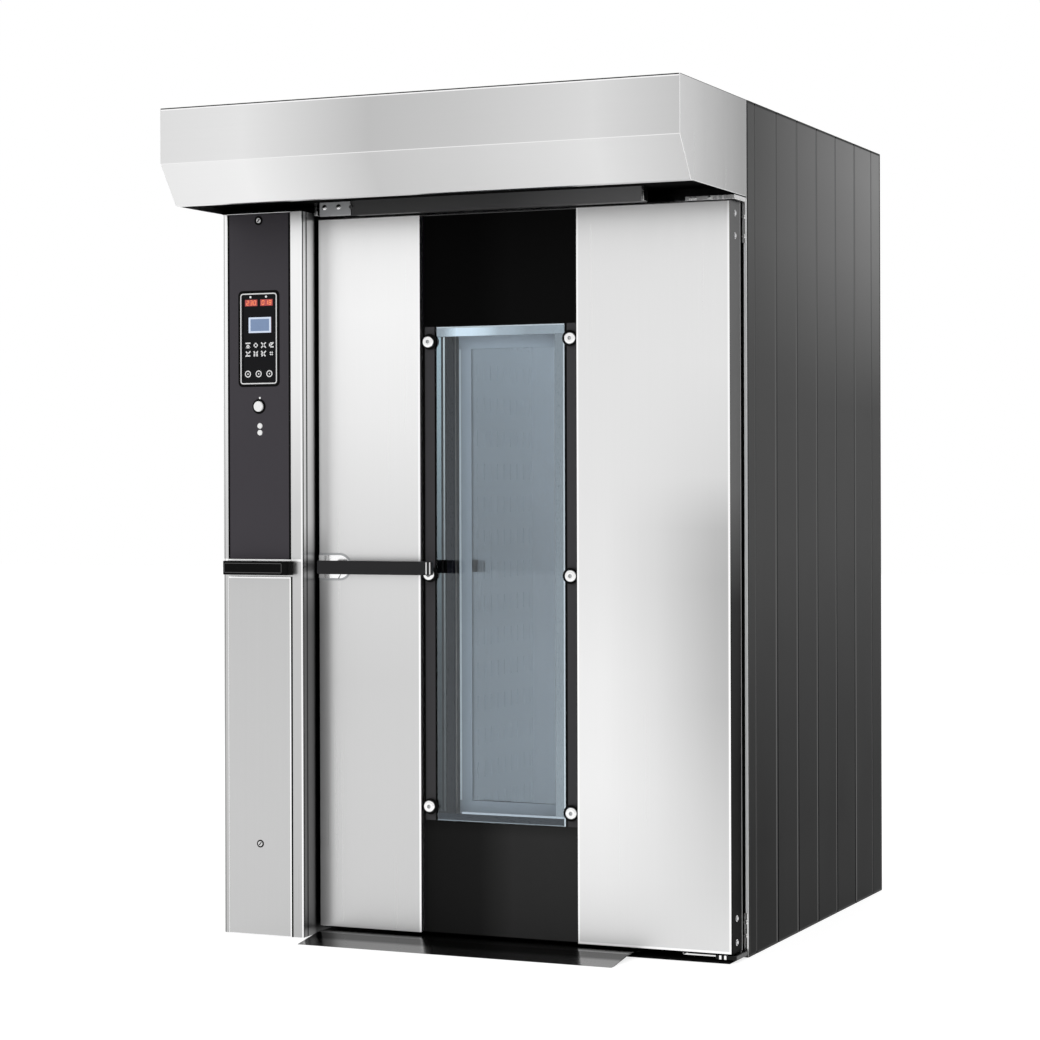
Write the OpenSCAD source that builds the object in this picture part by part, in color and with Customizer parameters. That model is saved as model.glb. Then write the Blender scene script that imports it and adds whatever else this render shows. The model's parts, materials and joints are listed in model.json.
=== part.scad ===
// Rotating rack oven for one bakery rack: an insulated chamber with a ceiling hook that turns the
// rack, a heater and fan compartment on the left, a full-height door, a control column and a hood.
// Millimetres, +Z up, +X to the right of someone facing the door, +Y to the back.
// The origin is on the floor, midway across the front plane of the door frame.

/* [Cabinet] */
// Width of the cabinet
cabinet_w = 1510; // [1480:10:1600]
// Depth of the cabinet behind the door frame's front plane
cabinet_d = 1300; // [1240:10:1450]
// Height of the cabinet and of its hood
cabinet_h = 2300; // [2280:10:2420]
// Thickness of an insulated wall, from the chamber to the outside
wall_t = 110; // [90:5:130]
// Depth of the folded cladding planks
clad_depth = 20; // [15:1:30]
// Width of one cladding plank
plank_w = 187.5; // [150:2.5:240]
// Width of the first, narrow plank beside the door frame
first_plank_w = 70; // [50:5:110]
// Open seam between two planks
plank_seam = 1; // [0.6:0.2:2]
// Bevel along each long edge of a plank
plank_bevel = 3; // [2:0.5:5]
// Thickness of the sheet metal
sheet_t = 2; // [1.5:0.5:3]
// Height of the steel base tubes
base_h = 60; // [40:5:80]
// Wall of the base tubes
base_wall = 4; // [3:1:6]

/* [Chamber] */
// Width of the heater and fan compartment on the left
duct_w = 260; // [250:5:300]
// Height of the chamber ceiling above the doorway
ceiling_rise = 30; // [15:5:40]
// Thickness of the chamber floor plate
floor_t = 20; // [15:1:25]
// Width of one upright air slot
slot_w = 6; // [4:0.5:10]
// Height of one upright air slot
slot_h = 50; // [30:2:60]
// Number of air slot columns
slot_columns = 22; // [12:1:26]
// Number of air slots in a column
slot_rows = 18; // [12:1:24]

/* [Door frame] */
// Depth of the door frame members
frame_d = 70; // [50:5:90]
// How far each jamb reaches past the chamber's side wall
opening_inset = 65; // [55:5:90]
// How far the door laps over the header
header_lap = 62; // [50:2:80]
// Thickness of the steel of the jambs and the header
frame_wall = 3; // [2:0.5:5]
// Width of the frame strip left in view beside the door's hinge edge
frame_strip = 12; // [10:1:16]
// Thickness of the door sill
sill_t = 18; // [12:1:20]
// Reach of the sill in front of the frame
sill_reach = 30; // [25:1:40]

/* [Door] */
// Distance from the frame's front plane to the door's front skin
door_proud = 100; // [90:2:110]
// Height of the door's lower edge above the floor
door_bottom = 22; // [21:0.5:26]
// Gap between the door and the level of the hood's lower edge
door_head_gap = 18; // [17:0.5:24]
// Gap between the door's free edge and the control column
door_gap = 8; // [6:1:10]
// Thickness of the door seal
seal_t = 16; // [12:1:20]
// Width of the door seal
seal_w = 14; // [10:1:20]
// Width of the steel panel on the handle side
left_panel_w = 318; // [290:2:340]
// Width of the dark centre strip
strip_w = 471; // [450:2:490]
// How far the centre strip lies behind the steel panels
strip_recess = 20; // [16:1:24]
// Width of the outer glass pane
pane_w = 387; // [360:1:396]
// Distance from the door's upper edge to the outer glass pane
pane_head = 312; // [300:2:340]
// Height of the pane's lower edge above the floor
pane_bottom = 336; // [320:1:350]
// Thickness of the glass panes
glass_t = 6; // [5:0.5:8]
// How far the pane overlaps the window opening along its left and right edges
pane_side_lap = 30; // [20:1:36]
// How far the pane overlaps the window opening at the top and bottom
pane_end_lap = 15; // [8:1:24]
// Radius of the round glass buttons
button_r = 19; // [16:0.5:21]
// Gap between a button's centre and the pane's side edge
button_offset = 20; // [19:0.5:22]

/* [Hinges and handle] */
// Distance from the door's hinge edge to the hinge axis
hinge_inset = 28; // [26:0.5:31]
// Distance from the door's front skin to the hinge axis
hinge_depth = 25; // [24:0.5:27]
// Radius of the hinge pins
hinge_pin_r = 8; // [6:0.5:9]
// Length of pin inside each door bush
hinge_pin_len = 34; // [26:1:44]
// Height of the handle's spindle above the floor
handle_z = 1040; // [1000:5:1080]
// Distance from the door's free edge to the spindle
spindle_inset = 65; // [60:1:72]
// Radius of the spindle
spindle_r = 8; // [6:0.5:10]
// Length of the handle bar on the grip side of the spindle
grip_len = 322; // [280:2:330]
// Length of the handle bar on the other side of the spindle
tail_len = 35; // [30:1:38]
// Height of the handle bar
bar_h = 38; // [30:1:42]
// Thickness of the handle bar
bar_t = 12; // [8:1:14]
// Distance from the door's front skin to the back of the handle bar
bar_standoff = 60; // [50:1:66]
// Radius of the round end of the handle plate
plate_r = 33; // [28:0.5:38]

/* [Control column] */
// Width of the control column
column_w = 260; // [250:2:266]
// Depth of the column in front of the frame
column_d = 184; // [170:2:200]
// Radius of the column's outer front corner
column_corner_r = 16; // [8:1:18]
// Width of the steel strip on the door side of the column's front
column_trim_w = 37; // [30:1:44]
// Width of the steel strip on the outer side of the column's front
column_edge_w = 21.5; // [20:0.5:26]
// Lower edge of the control fascia
fascia_bottom = 1062; // [1060:1:1070]
// Upper edge of the service panel
service_top = 1013; // [1000:1:1018]
// Height of the dark bumper band
band_h = 39; // [30:1:44]
// How far the bumper band stands in front of the column
band_proud = 33; // [24:1:40]

/* [Keypad] */
// Width of the keypad
keypad_w = 119.5; // [110:0.5:130]
// Height of the keypad
keypad_h = 259; // [250:1:270]
// Distance from the column's top down to the keypad's centre
keypad_drop = 355.5; // [330:0.5:380]
// Width of the keypad's raised rim
keypad_rim = 9.5; // [6:0.5:11]
// Radius of the round keys
round_key_r = 9; // [7:0.5:10]
// Travel of a round key
round_key_travel = 1.5; // [1:0.1:2]
// Radius of the push button
push_button_r = 15; // [12:0.5:16]
// Travel of the push button
push_travel = 3; // [2:0.5:4]
// Radius of the panel locks
lock_r = 7; // [6:0.5:9]

/* [Hood] */
// How far the hood stands in front of the frame
hood_d = 513; // [480:5:540]
// Height of the hood
hood_h = 260; // [240:2:300]
// Height of the hood's upright front face
hood_face_h = 152.5; // [130:2.5:170]
// Depth of the slanted face, front to back
hood_slant_d = 81; // [60:1:100]
// Depth of the hood's folded lips
hood_lip = 20; // [15:1:30]
// Height of the filter plate above the hood's lower edge
filter_rise = 28; // [26:1:34]
// Outer radius of the exhaust spigot
exhaust_r = 75; // [60:1:80]
// Length of the exhaust spigot
exhaust_len = 45; // [35:1:50]

/* [Ramp] */
// Width of the entry ramp
ramp_w = 937; // [900:5:960]
// Distance from the frame to the ramp's front edge
ramp_reach = 281; // [250:5:310]
// Length of the ramp's sloping part
ramp_slope_d = 121; // [90:5:140]
// Height of the ramp's flat part
ramp_h = 16; // [12:1:18]

/* [Steam cascade] */
// Number of rows of channels
trough_rows = 4; // [2:1:5]
// Height from one row of channels to the next
trough_pitch = 62; // [50:1:66]
// Height of the lowest row above the floor
trough_z0 = 50; // [40:2:60]
// Width of a channel
trough_w = 60; // [40:2:66]
// Height of a channel's sides
trough_h = 34; // [24:1:40]
// Distance from each end of the cascade to the compartment's end
trough_end = 150; // [120:10:250]

/* [Rack drive and fan] */
// Radius of the rack carrier's shaft
carrier_shaft_r = 15; // [12:0.5:20]
// Spacing of the two hook rails
rail_spacing = 220; // [180:5:260]
// Length of a hook rail
rail_len = 520; // [420:10:600]
// Radius of the fan impeller
impeller_r = 118; // [100:1:124]
// Height of the fan impeller
impeller_h = 96; // [80:2:110]
// Number of fan blades
blade_count = 12; // [8:1:16]
// Radius of the fan shaft
fan_shaft_r = 12; // [10:0.5:14]
// Outer radius of the steam vent pipe
vent_r = 50; // [40:1:55]
// Height of the steam vent pipe above the roof panel
vent_rise = 100; // [80:5:120]

/* [Hidden] */

$fn = 48;
small_fn = 24;

// Clearances
seat = 0.3;          // between pieces that sit on each other
panel_gap = 0.5;     // round a removable panel
running = 0.05;      // radial clearance of a shaft in its bearing
passing = 2;         // radial clearance where a shaft or pipe passes through a wall
key_gap = 0.4;       // round a key or a button

// Cabinet and chamber
cab_r = cabinet_w / 2;
clad_in = cab_r - clad_depth;
skin_r = cab_r - wall_t;
skin_l = -skin_r;
chamber_l = skin_l + duct_w;
rear_in = cabinet_d - clad_depth;
chamber_back = cabinet_d - wall_t;
chamber_y = (frame_d + chamber_back) / 2;
roof_z = cabinet_h - clad_depth;
hood_bottom = cabinet_h - hood_h;
column_h = hood_bottom;
door_top = hood_bottom - door_head_gap;
opening_top = door_top - header_lap;
ceiling_z = opening_top + ceiling_rise;
opening_l = chamber_l + opening_inset;
opening_r = skin_r - opening_inset;
tube_w = wall_t - clad_depth - sheet_t - 2 * seat;
air_x = (skin_l + chamber_l) / 2;

// Door
column_r = -cab_r + column_w;
door_l = column_r + door_gap;
door_r = cab_r - frame_strip;
door_front = -door_proud;
door_back = -seal_t;
strip_l = door_l + left_panel_w;
strip_r = strip_l + strip_w;
strip_x = (strip_l + strip_r) / 2;
strip_front = door_front + strip_recess;
pane_l = strip_x - pane_w / 2;
pane_r = strip_x + pane_w / 2;
pane_top = door_top - pane_head;
pane_back = strip_front - 1;
pane_front = pane_back - glass_t;
window_l = pane_l + pane_side_lap;
window_r = pane_r - pane_side_lap;
window_z0 = pane_bottom + pane_end_lap;
window_z1 = pane_top - pane_end_lap;
inner_glass_lap = 10;
reveal_t = 3;
hinge_x = door_r - hinge_inset;
hinge_y = door_front + hinge_depth;
bush_half = 20;
bush_len = hinge_pin_len + 2;
bracket_gap = 3;

// Handle and latch
spindle_x = door_l + spindle_inset;
bar_back = door_front - bar_standoff;
plate_t = 3;
boss_r = 14;
boss_len = 10;
latch_y = -60;
latch_t = 14;
latch_half_h = 8;
latch_tip = 3.5;
keeper_gap = 1;
handle_swing = 45;

// Column
fascia_l = -cab_r + column_edge_w;
fascia_r = column_r - column_trim_w;
fascia_x = (fascia_l + fascia_r) / 2;
fascia_top = column_h - 4;
panel_t = 3;
return_d = 12;
fascia_lock_z = column_h - 22;
service_lock_z = 258;
keypad_z = column_h - keypad_drop;
button_z = keypad_z - 191.5;

// Keypad layout, from the keypad's centre
key_pitch = 34.5;
round_key_z = keypad_z - 99.5;
display_z = keypad_z + 101.5;
lcd_z = keypad_z + 38.5;
small_key_size = 14;
small_key_pitch = [25, 24];
small_key_z = keypad_z - 30.5;
rim_proud = 2;
face_proud = 0.5;

// Hood
hood_slant_z = cabinet_h - hood_face_h;
filter_z = hood_bottom + filter_rise;
hood_in = cab_r - sheet_t;
exhaust_x = cab_r - 405;
exhaust_y = -150;
deflector_l = door_l + 133;
deflector_r = door_r - 234;

// Fan, rack drive and vent
fan_top_z = ceiling_z - 110;
vent_x = skin_r - 225;
vent_y = chamber_back - 120;
vent_top = roof_z + vent_rise;
vent_wall = 1.5;
damper_z = roof_z + 30;
damper_shaft_r = 4;
carrier_z = ceiling_z - 30;
mount_plate_t = 10;
bearing_len = 60;

// ---- helpers ----

// A block between two corners
module block(lo, hi) {
    translate(lo) cube(hi - lo);
}

// A cylinder along Y, from y0 to y1
module rod_y(x, z, r, y0, y1, fn = 48) {
    translate([x, y1, z]) rotate([90, 0, 0]) cylinder(r = r, h = y1 - y0, $fn = fn);
}

// A cylinder along X, from x0 to x1
module rod_x(y, z, r, x0, x1, fn = 48) {
    translate([x0, y, z]) rotate([0, 90, 0]) cylinder(r = r, h = x1 - x0, $fn = fn);
}

// A cylinder along Z, from z0 to z1
module rod_z(x, y, r, z0, z1, fn = 48) {
    translate([x, y, z0]) cylinder(r = r, h = z1 - z0, $fn = fn);
}

// Children drawn in Y and Z, pushed from x0 to x1
module profile_x(x0, x1) {
    translate([x0, 0, 0]) rotate([90, 0, 90]) linear_extrude(x1 - x0) children();
}

// Children drawn in X and Z, pushed from y0 to y1
module profile_y(y0, y1) {
    translate([0, y1, 0]) rotate([90, 0, 0]) linear_extrude(y1 - y0) children();
}

// Children drawn in X and Y, pushed from z0 to z1
module profile_z(z0, z1) {
    translate([0, 0, z0]) linear_extrude(z1 - z0) children();
}

// Cross-section of a hollow box member, from the origin
module box_section(w, h, wall) {
    difference() {
        square([w, h]);
        translate([wall, wall]) square([w - 2 * wall, h - 2 * wall]);
    }
}

module rounded_rect(w, h, r) {
    square([w - 2 * r, h], center = true);
    square([w, h - 2 * r], center = true);
    for (sx = [-1, 1], sy = [-1, 1])
        translate([sx * (w / 2 - r), sy * (h / 2 - r)]) circle(r, $fn = small_fn);
}

// Left-hand normal of the line from a to b
function left_normal(a, b) = [a[1] - b[1], b[0] - a[0]] / norm(b - a);

// The bend point q of the path p, q, r, moved to the left by t
function mitre(p, q, r, t) =
    let (n1 = left_normal(p, q), n2 = left_normal(q, r))
    q + t * (n1 + n2) / (1 + n1 * n2);

function moved_path(path, t) =
    let (last = len(path) - 1)
    [for (i = [0:last])
        i == 0 ? path[0] + t * left_normal(path[0], path[1])
        : i == last ? path[last] + t * left_normal(path[last - 1], path[last])
        : mitre(path[i - 1], path[i], path[i + 1], t)];

// Cross-section of a folded sheet: the path is one face, the other lies t to its left
module folded(path, t = sheet_t) {
    back = moved_path(path, t);
    polygon(concat(path, [for (i = [len(back) - 1:-1:0]) back[i]]));
}

function arc(cx, cy, r, a0, a1, steps) =
    [for (i = [0:steps]) let (a = a0 + (a1 - a0) * i / steps) [cx + r * cos(a), cy + r * sin(a)]];

// ---- base and chamber ----

module base_frame() color("dimgray") {
    for (x = [skin_r + sheet_t + seat, -clad_in + seat])
        translate([x, chamber_back - seat, 0]) rotate([90, 0, 0])
            linear_extrude(chamber_back - frame_d - 2 * seat) box_section(tube_w, base_h, base_wall);
    translate([-clad_in + seat, chamber_back + sheet_t + seat, 0]) rotate([90, 0, 90])
        linear_extrude(2 * (clad_in - seat)) box_section(tube_w, base_h, base_wall);
}

module floor_plate() color("silver")
    block([skin_l + seat, frame_d + seat, 0], [skin_r - seat, chamber_back - seat, floor_t]);

module entry_ramp() color("gainsboro") {
    front = -ramp_reach;
    crest = front + ramp_slope_d;
    back = -sill_reach - seat;
    plate = 3;
    slope = (ramp_h - plate) / ramp_h;
    ramp_x = door_l + 22 + ramp_w / 2;
    translate([ramp_x, 0, 0]) profile_x(-ramp_w / 2, ramp_w / 2)
        polygon([[front, 0], [crest, ramp_h], [back, ramp_h], [back, 0], [back - plate, 0],
            [back - plate, ramp_h - plate], [crest, ramp_h - plate],
            [crest - slope * ramp_slope_d, 0]]);
}

// Jambs, header and sill, each a closed insulated box
module front_frame() color("whitesmoke") {
    header_z = opening_top;
    for (side = [[-clad_in, opening_l], [opening_r, clad_in]])
        translate([side[0], 0, 0]) linear_extrude(header_z - seat)
            box_section(side[1] - side[0], frame_d, frame_wall);
    for (x = [-cab_r, clad_in + seat])
        block([x, 0, 0], [x + clad_depth - seat, sheet_t, cabinet_h]);
    translate([0, 0, header_z]) profile_x(-clad_in, clad_in)
        box_section(frame_d, roof_z - header_z, frame_wall);
    difference() {
        block([opening_l + seat, -sill_reach, 0], [opening_r - seat, frame_d, sill_t]);
        translate([0, -sill_reach, sill_t]) rotate([45, 0, 0])
            cube([2 * cabinet_w, 3, 3], center = true);
    }
}

// One folded plank on the plane u = face, between v0 and v1
module plank_section(face, v0, v1) {
    a = v0 + plank_seam / 2;
    b = v1 - plank_seam / 2;
    folded([[face - clad_depth, a], [face - plank_bevel, a], [face, a + plank_bevel],
        [face, b - plank_bevel], [face - plank_bevel, b], [face - clad_depth, b]]);
}

// Seams of a run of planks from v0 to v1, the last plank taking what is left
function seams(v0, first, v1) =
    concat([v0, v0 + first],
        [for (k = [1:floor((v1 - v0 - first - plank_w / 3) / plank_w)]) v0 + first + k * plank_w], [v1]);

module side_cladding() {
    edges = seams(sheet_t + seat, first_plank_w - sheet_t, cabinet_d);
    profile_z(0, cabinet_h)
        for (i = [0:len(edges) - 2]) plank_section(cab_r, edges[i], edges[i + 1]);
}

module right_cladding() color([0.24, 0.25, 0.26]) side_cladding();

module left_cladding() color([0.24, 0.25, 0.26]) mirror([1, 0, 0]) side_cladding();

module rear_cladding() color([0.24, 0.25, 0.26]) {
    reach = clad_in - seat;
    edges = seams(-reach, first_plank_w, reach);
    profile_z(0, cabinet_h) mirror([1, -1, 0])
        for (i = [0:len(edges) - 2]) plank_section(cabinet_d, edges[i], edges[i + 1]);
}

module shaft_holes(z0, z1) {
    rod_z(air_x, chamber_y, fan_shaft_r + passing, z0, z1);
    rod_z(chamber_x(), chamber_y, carrier_shaft_r + passing, z0, z1);
    rod_z(vent_x, vent_y, vent_r + seat, z0, z1);
}

function chamber_x() = (chamber_l + skin_r) / 2;

module roof_panel() color("darkgray") difference() {
    block([-clad_in + seat, frame_d + seat, roof_z - sheet_t], [clad_in - seat, rear_in - seat, roof_z]);
    shaft_holes(roof_z - 2 * sheet_t, roof_z + sheet_t);
}

module wall_insulation() color("khaki") {
    top = roof_z - sheet_t - seat;
    low = base_h + seat;
    in = sheet_t + seat;
    for (s = [1, -1]) scale([s, 1, 1])
        block([skin_r + in, frame_d + seat, low], [clad_in - seat, chamber_back, top]);
    block([-clad_in + seat, chamber_back + in, low], [clad_in - seat, rear_in - seat, top]);
    difference() {
        block([skin_l - sheet_t + seat, frame_d + seat, ceiling_z + in],
            [skin_r + sheet_t - seat, chamber_back, top]);
        shaft_holes(ceiling_z, roof_z);
    }
}

module chamber_walls() color("lightgray") {
    for (s = [1, -1]) scale([s, 1, 1])
        block([skin_r, frame_d + seat, floor_t], [skin_r + sheet_t, chamber_back - seat, ceiling_z - seat]);
    block([skin_l - sheet_t, chamber_back, floor_t],
        [skin_r + sheet_t, chamber_back + sheet_t, ceiling_z - seat]);
}

module chamber_ceiling() color("lightgray") difference() {
    block([skin_l - sheet_t, frame_d + seat, ceiling_z], [skin_r + sheet_t, chamber_back, ceiling_z + sheet_t]);
    shaft_holes(ceiling_z - sheet_t, ceiling_z + 2 * sheet_t);
}

// The chamber's left wall: columns of air slots
module air_diffuser() color("silver") {
    depth = chamber_back - frame_d;
    height = fan_top_z - floor_t;
    profile_x(chamber_l - sheet_t, chamber_l) difference() {
        translate([frame_d + seat, floor_t + seat])
            square([depth - 2 * seat, ceiling_z - floor_t - 2 * seat]);
        for (c = [0:slot_columns - 1], r = [0:slot_rows - 1])
            translate([frame_d + depth * (c + 0.5) / slot_columns, floor_t + height * (r + 0.5) / slot_rows])
                square([slot_w, slot_h], center = true);
    }
}

// ---- heater and fan compartment ----

module heater_loop(y, z0, z1) {
    r = 6;
    bend = 45;
    for (s = [-1, 1]) rod_z(air_x + s * bend, y, r, z0, z1 - bend, small_fn);
    translate([air_x, y, z1 - bend]) rotate([90, 0, 0])
        rotate_extrude(angle = 180) translate([bend, 0]) circle(r, $fn = small_fn);
}

module heating_elements() color("dimgray") {
    loops = 5;
    pitch = (chamber_back - frame_d) / (loops + 1);
    shelf_z = trough_z0 + trough_rows * trough_pitch + 20;
    plate = 4;
    for (i = [1:loops]) heater_loop(frame_d + i * pitch, shelf_z + seat, fan_top_z - impeller_h - 84);
    block([skin_l + seat, frame_d + pitch / 2, shelf_z - plate],
        [chamber_l - sheet_t - seat, chamber_back - pitch / 2, shelf_z]);
}

// Steam cascade: a stack of channels between two end plates
module steam_troughs() color("slategray") {
    w = duct_w - sheet_t - 2 * seat;
    x0 = skin_l + seat;
    y0 = frame_d + trough_end;
    y1 = chamber_back - trough_end;
    side = 12;
    trough = [[0, trough_h], [0, 0], [trough_w, 0], [trough_w, trough_h]];
    for (y = [y0, y1])
        block([x0, y, floor_t + seat], [x0 + w, y + 4, trough_z0 + trough_rows * trough_pitch]);
    for (row = [0:trough_rows - 1], col = [0:2])
        translate([x0 + side + col * (w - trough_w - 2 * side) / 2, 0, trough_z0 + row * trough_pitch])
            profile_y(y0 + 4 + seat, y1 - seat) folded(trough, 3);
}

module fan_shelf() color("silver") {
    z = fan_top_z - impeller_h - 12;
    difference() {
        block([skin_l + seat, frame_d + 2 * seat, z - sheet_t],
            [chamber_l - sheet_t - seat, chamber_back - 2 * seat, z]);
        rod_z(air_x, chamber_y, impeller_r * 0.74, z - 2 * sheet_t, z + sheet_t);
    }
}

// A backward-curved blade between two radii
module blade(r0, r1, sweep, t) {
    steps = 8;
    side = function (extra) [for (i = [0:steps])
        let (k = i / steps, r = r0 + (r1 - r0) * k, a = -sweep * k + extra / r * 57.3) [r * cos(a), r * sin(a)]];
    near = side(0);
    far = side(t);
    polygon(concat(near, [for (i = [steps:-1:0]) far[i]]));
}

module circulation_impeller() color("silver") {
    z1 = fan_top_z;
    z0 = z1 - impeller_h;
    plate = 3;
    translate([air_x, chamber_y, 0]) {
        rod_z(0, 0, fan_shaft_r, z0, roof_z + mount_plate_t + bearing_len);
        rod_z(0, 0, fan_shaft_r + 10, z1 - 40, z1 + 16);
        rod_z(0, 0, impeller_r, z1 - plate, z1);
        difference() {
            rod_z(0, 0, impeller_r, z0, z0 + plate);
            rod_z(0, 0, impeller_r * 0.76, z0 - 1, z0 + plate + 1);
        }
        for (i = [0:blade_count - 1]) rotate(i * 360 / blade_count)
            profile_z(z0 + plate / 2, z1 - plate / 2) blade(impeller_r * 0.55, impeller_r * 0.985, 42, 2.5);
    }
}

// A foot-flanged electric motor standing on the roof, with fins and a terminal box
module motor_body(r, h, fins) {
    cylinder(r = r * 0.86, h = h);
    translate([0, 0, h - 4]) cylinder(r = r, h = 14);
    for (i = [0:fins - 1]) rotate(i * 360 / fins) translate([0, -1.5, 8]) cube([r, 3, h - 8]);
}

module fan_motor() color("steelblue") {
    body_h = 120;
    translate([air_x, chamber_y, roof_z]) difference() {
        union() {
            block([-95, -95, 0], [95, 95, mount_plate_t]);
            translate([0, 0, mount_plate_t - 1]) motor_body(75, body_h, 20);
            block([50, -30, 50], [105, 30, 110]);
        }
        rod_z(0, 0, fan_shaft_r + running, -1, mount_plate_t + bearing_len + seat);
    }
}

module rack_gearmotor() color("steelblue") {
    gear_h = 96;
    motor_z = roof_z + mount_plate_t + 52;
    translate([chamber_x(), chamber_y, 0]) difference() {
        union() {
            block([-110, -110, roof_z], [110, 110, roof_z + mount_plate_t]);
            block([-80, -70, roof_z + mount_plate_t - 1], [80, 70, roof_z + mount_plate_t + gear_h]);
            translate([70, 0, motor_z]) rotate([0, 90, 0]) motor_body(56, 180, 20);
            block([120, -30, motor_z + 40], [200, 30, motor_z + 78]);
        }
        rod_z(0, 0, carrier_shaft_r + running, roof_z - 1, roof_z + mount_plate_t + bearing_len + seat);
    }
}

// Ceiling hook that carries the rack: a shaft, a disc and two lipped rails
module rack_carrier() color("gainsboro") {
    rail = [[-26, 0], [0, 0], [0, -70], [-34, -70], [-34, -52]];
    translate([chamber_x(), chamber_y, 0]) {
        rod_z(0, 0, carrier_shaft_r, carrier_z - 4, roof_z + mount_plate_t + bearing_len);
        rod_z(0, 0, carrier_shaft_r + 15, carrier_z, carrier_z + 22);
        rod_z(0, 0, 180, carrier_z - 6, carrier_z);
        for (s = [1, -1]) scale([s, 1, 1]) translate([rail_spacing / 2 + 34, 0, carrier_z - 5])
            profile_y(-rail_len / 2, rail_len / 2) folded(rail, 5);
    }
}

module vent_pipe() color("silver") translate([vent_x, vent_y, 0]) difference() {
    union() {
        rod_z(0, 0, vent_r, ceiling_z - 2, vent_top);
        rod_z(0, 0, vent_r + 20, roof_z + seat, roof_z + seat + 3);
        rod_z(0, 0, vent_r + 6, roof_z + seat, damper_z + 10);
    }
    rod_z(0, 0, vent_r - vent_wall, ceiling_z - 3, vent_top + 1);
    rod_x(0, damper_z, damper_shaft_r + running, -vent_r - 8, vent_r + 8);
}

module steam_damper() color("gray") translate([vent_x, vent_y, damper_z]) {
    rod_x(0, 0, damper_shaft_r, -vent_r - 10, vent_r + 30);
    translate([0, 0, -1.5]) cylinder(r = vent_r - vent_wall - 1.5, h = 3);
    translate([vent_r + 22, 0, 0]) block([0, -6, -6], [6, 40, 6]);
}

// Cable gland for the supply and the threaded water nipple, both on the roof
module supply_inlets() color("dimgray") {
    gland = [skin_l + 45, chamber_back - 130];
    nipple = gland - [0, 130];
    translate([gland[0], gland[1], roof_z]) difference() {
        union() {
            cylinder(r = 26, h = 8, $fn = 6);
            cylinder(r = 20, h = 30);
            translate([0, 0, 16]) cylinder(r = 24, h = 16, $fn = 6);
        }
        translate([0, 0, 8]) cylinder(r = 12.5, h = 40);
    }
    translate([nipple[0], nipple[1], roof_z]) difference() {
        union() {
            cylinder(r = 22, h = 10, $fn = 6);
            cylinder(r = 13.2, h = 40);
        }
        translate([0, 0, 4]) cylinder(r = 9, h = 40);
    }
}

// ---- hood ----

hood_path = [[-hood_d + 33, cabinet_h], [-hood_d, cabinet_h], [-hood_d, hood_slant_z],
    [-hood_d + hood_slant_d, hood_bottom], [-hood_d + hood_slant_d + hood_lip, hood_bottom]];

module hood_front() color("lightgray")
    profile_x(-hood_in + seat, hood_in - seat) folded(hood_path);

module hood_top() color("lightgray") difference() {
    block([-hood_in + seat, -hood_d + 33 + seat, cabinet_h - sheet_t], [hood_in - seat, -seat, cabinet_h]);
    rod_z(exhaust_x, exhaust_y, exhaust_r - sheet_t - 2, cabinet_h - 3 * sheet_t, cabinet_h + 1);
}

module hood_ends() color("lightgray")
    for (x = [-cab_r, hood_in]) profile_x(x, x + sheet_t)
        polygon([[-hood_d, cabinet_h], [-hood_d, hood_slant_z], [-hood_d + hood_slant_d, hood_bottom],
            [0, hood_bottom], [0, cabinet_h]]);

// Where the slanted face's inner side lies at height z
function slant_y(z) =
    let (rise = hood_slant_z - hood_bottom, k = (hood_slant_z - z) / rise)
    -hood_d + hood_slant_d * k + sheet_t * norm([hood_slant_d, rise]) / rise;

module hood_filters() color([0.1, 0.1, 0.11]) {
    slots = 24;
    front = slant_y(filter_z) + seat;
    reach = hood_in - seat;
    profile_z(filter_z, filter_z + sheet_t) difference() {
        translate([-reach, front]) square([2 * reach, -seat - front]);
        for (i = [0:slots - 1], row = [0, 1])
            translate([-reach + (i + 0.5) * 2 * reach / slots, front * (row == 0 ? 0.72 : 0.5)])
                square([12, 70], center = true);
    }
}

module exhaust_spigot() color("silver") translate([exhaust_x, exhaust_y, cabinet_h]) difference() {
    union() {
        cylinder(r = exhaust_r, h = exhaust_len);
        cylinder(r = exhaust_r + 22, h = 3);
    }
    translate([0, 0, -1]) cylinder(r = exhaust_r - sheet_t, h = exhaust_len + 2);
}

// ---- control column ----

module column_housing() color("gainsboro") {
    corner = arc(-cab_r + column_corner_r, -column_d + column_corner_r, column_corner_r, 180, 270, 4);
    path = concat([[fascia_r, -column_d + return_d], [fascia_r, -column_d], [column_r, -column_d],
        [column_r, -seat], [-cab_r, -seat]], corner,
        [[fascia_l, -column_d], [fascia_l, -column_d + return_d]]);
    window = [handle_z - spindle_inset, handle_z + 24];
    difference() {
        profile_z(0, column_h - sheet_t) folded(path);
        block([column_r - 3 * sheet_t, latch_y - 16, window[0]], [column_r + 1, latch_y + 16, window[1]]);
    }
    profile_z(column_h - sheet_t, column_h)
        polygon(concat([[column_r, -column_d], [column_r, -seat], [-cab_r, -seat]], corner));
    block([fascia_l + panel_gap, -column_d, service_top + panel_gap],
        [fascia_r - panel_gap, -column_d + sheet_t, fascia_bottom - panel_gap]);
}

module column_panel(z0, z1) {
    block([fascia_l + panel_gap, -column_d, z0], [fascia_r - panel_gap, -column_d + panel_t, z1]);
}

module keypad_outline(w, h) {
    translate([fascia_x, keypad_z]) rounded_rect(w, h, 9);
}

module control_fascia() color([0.2, 0.2, 0.22]) difference() {
    column_panel(fascia_bottom, fascia_top);
    profile_y(-column_d - 1, -column_d + panel_t + 1)
        keypad_outline(keypad_w + 2 * seat - 4, keypad_h + 2 * seat - 4);
    rod_y(fascia_x, button_z, push_button_r + key_gap, -column_d - 1, 0);
    rod_y(fascia_x, fascia_lock_z, lock_r + key_gap, -column_d - 1, 0);
}

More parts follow.
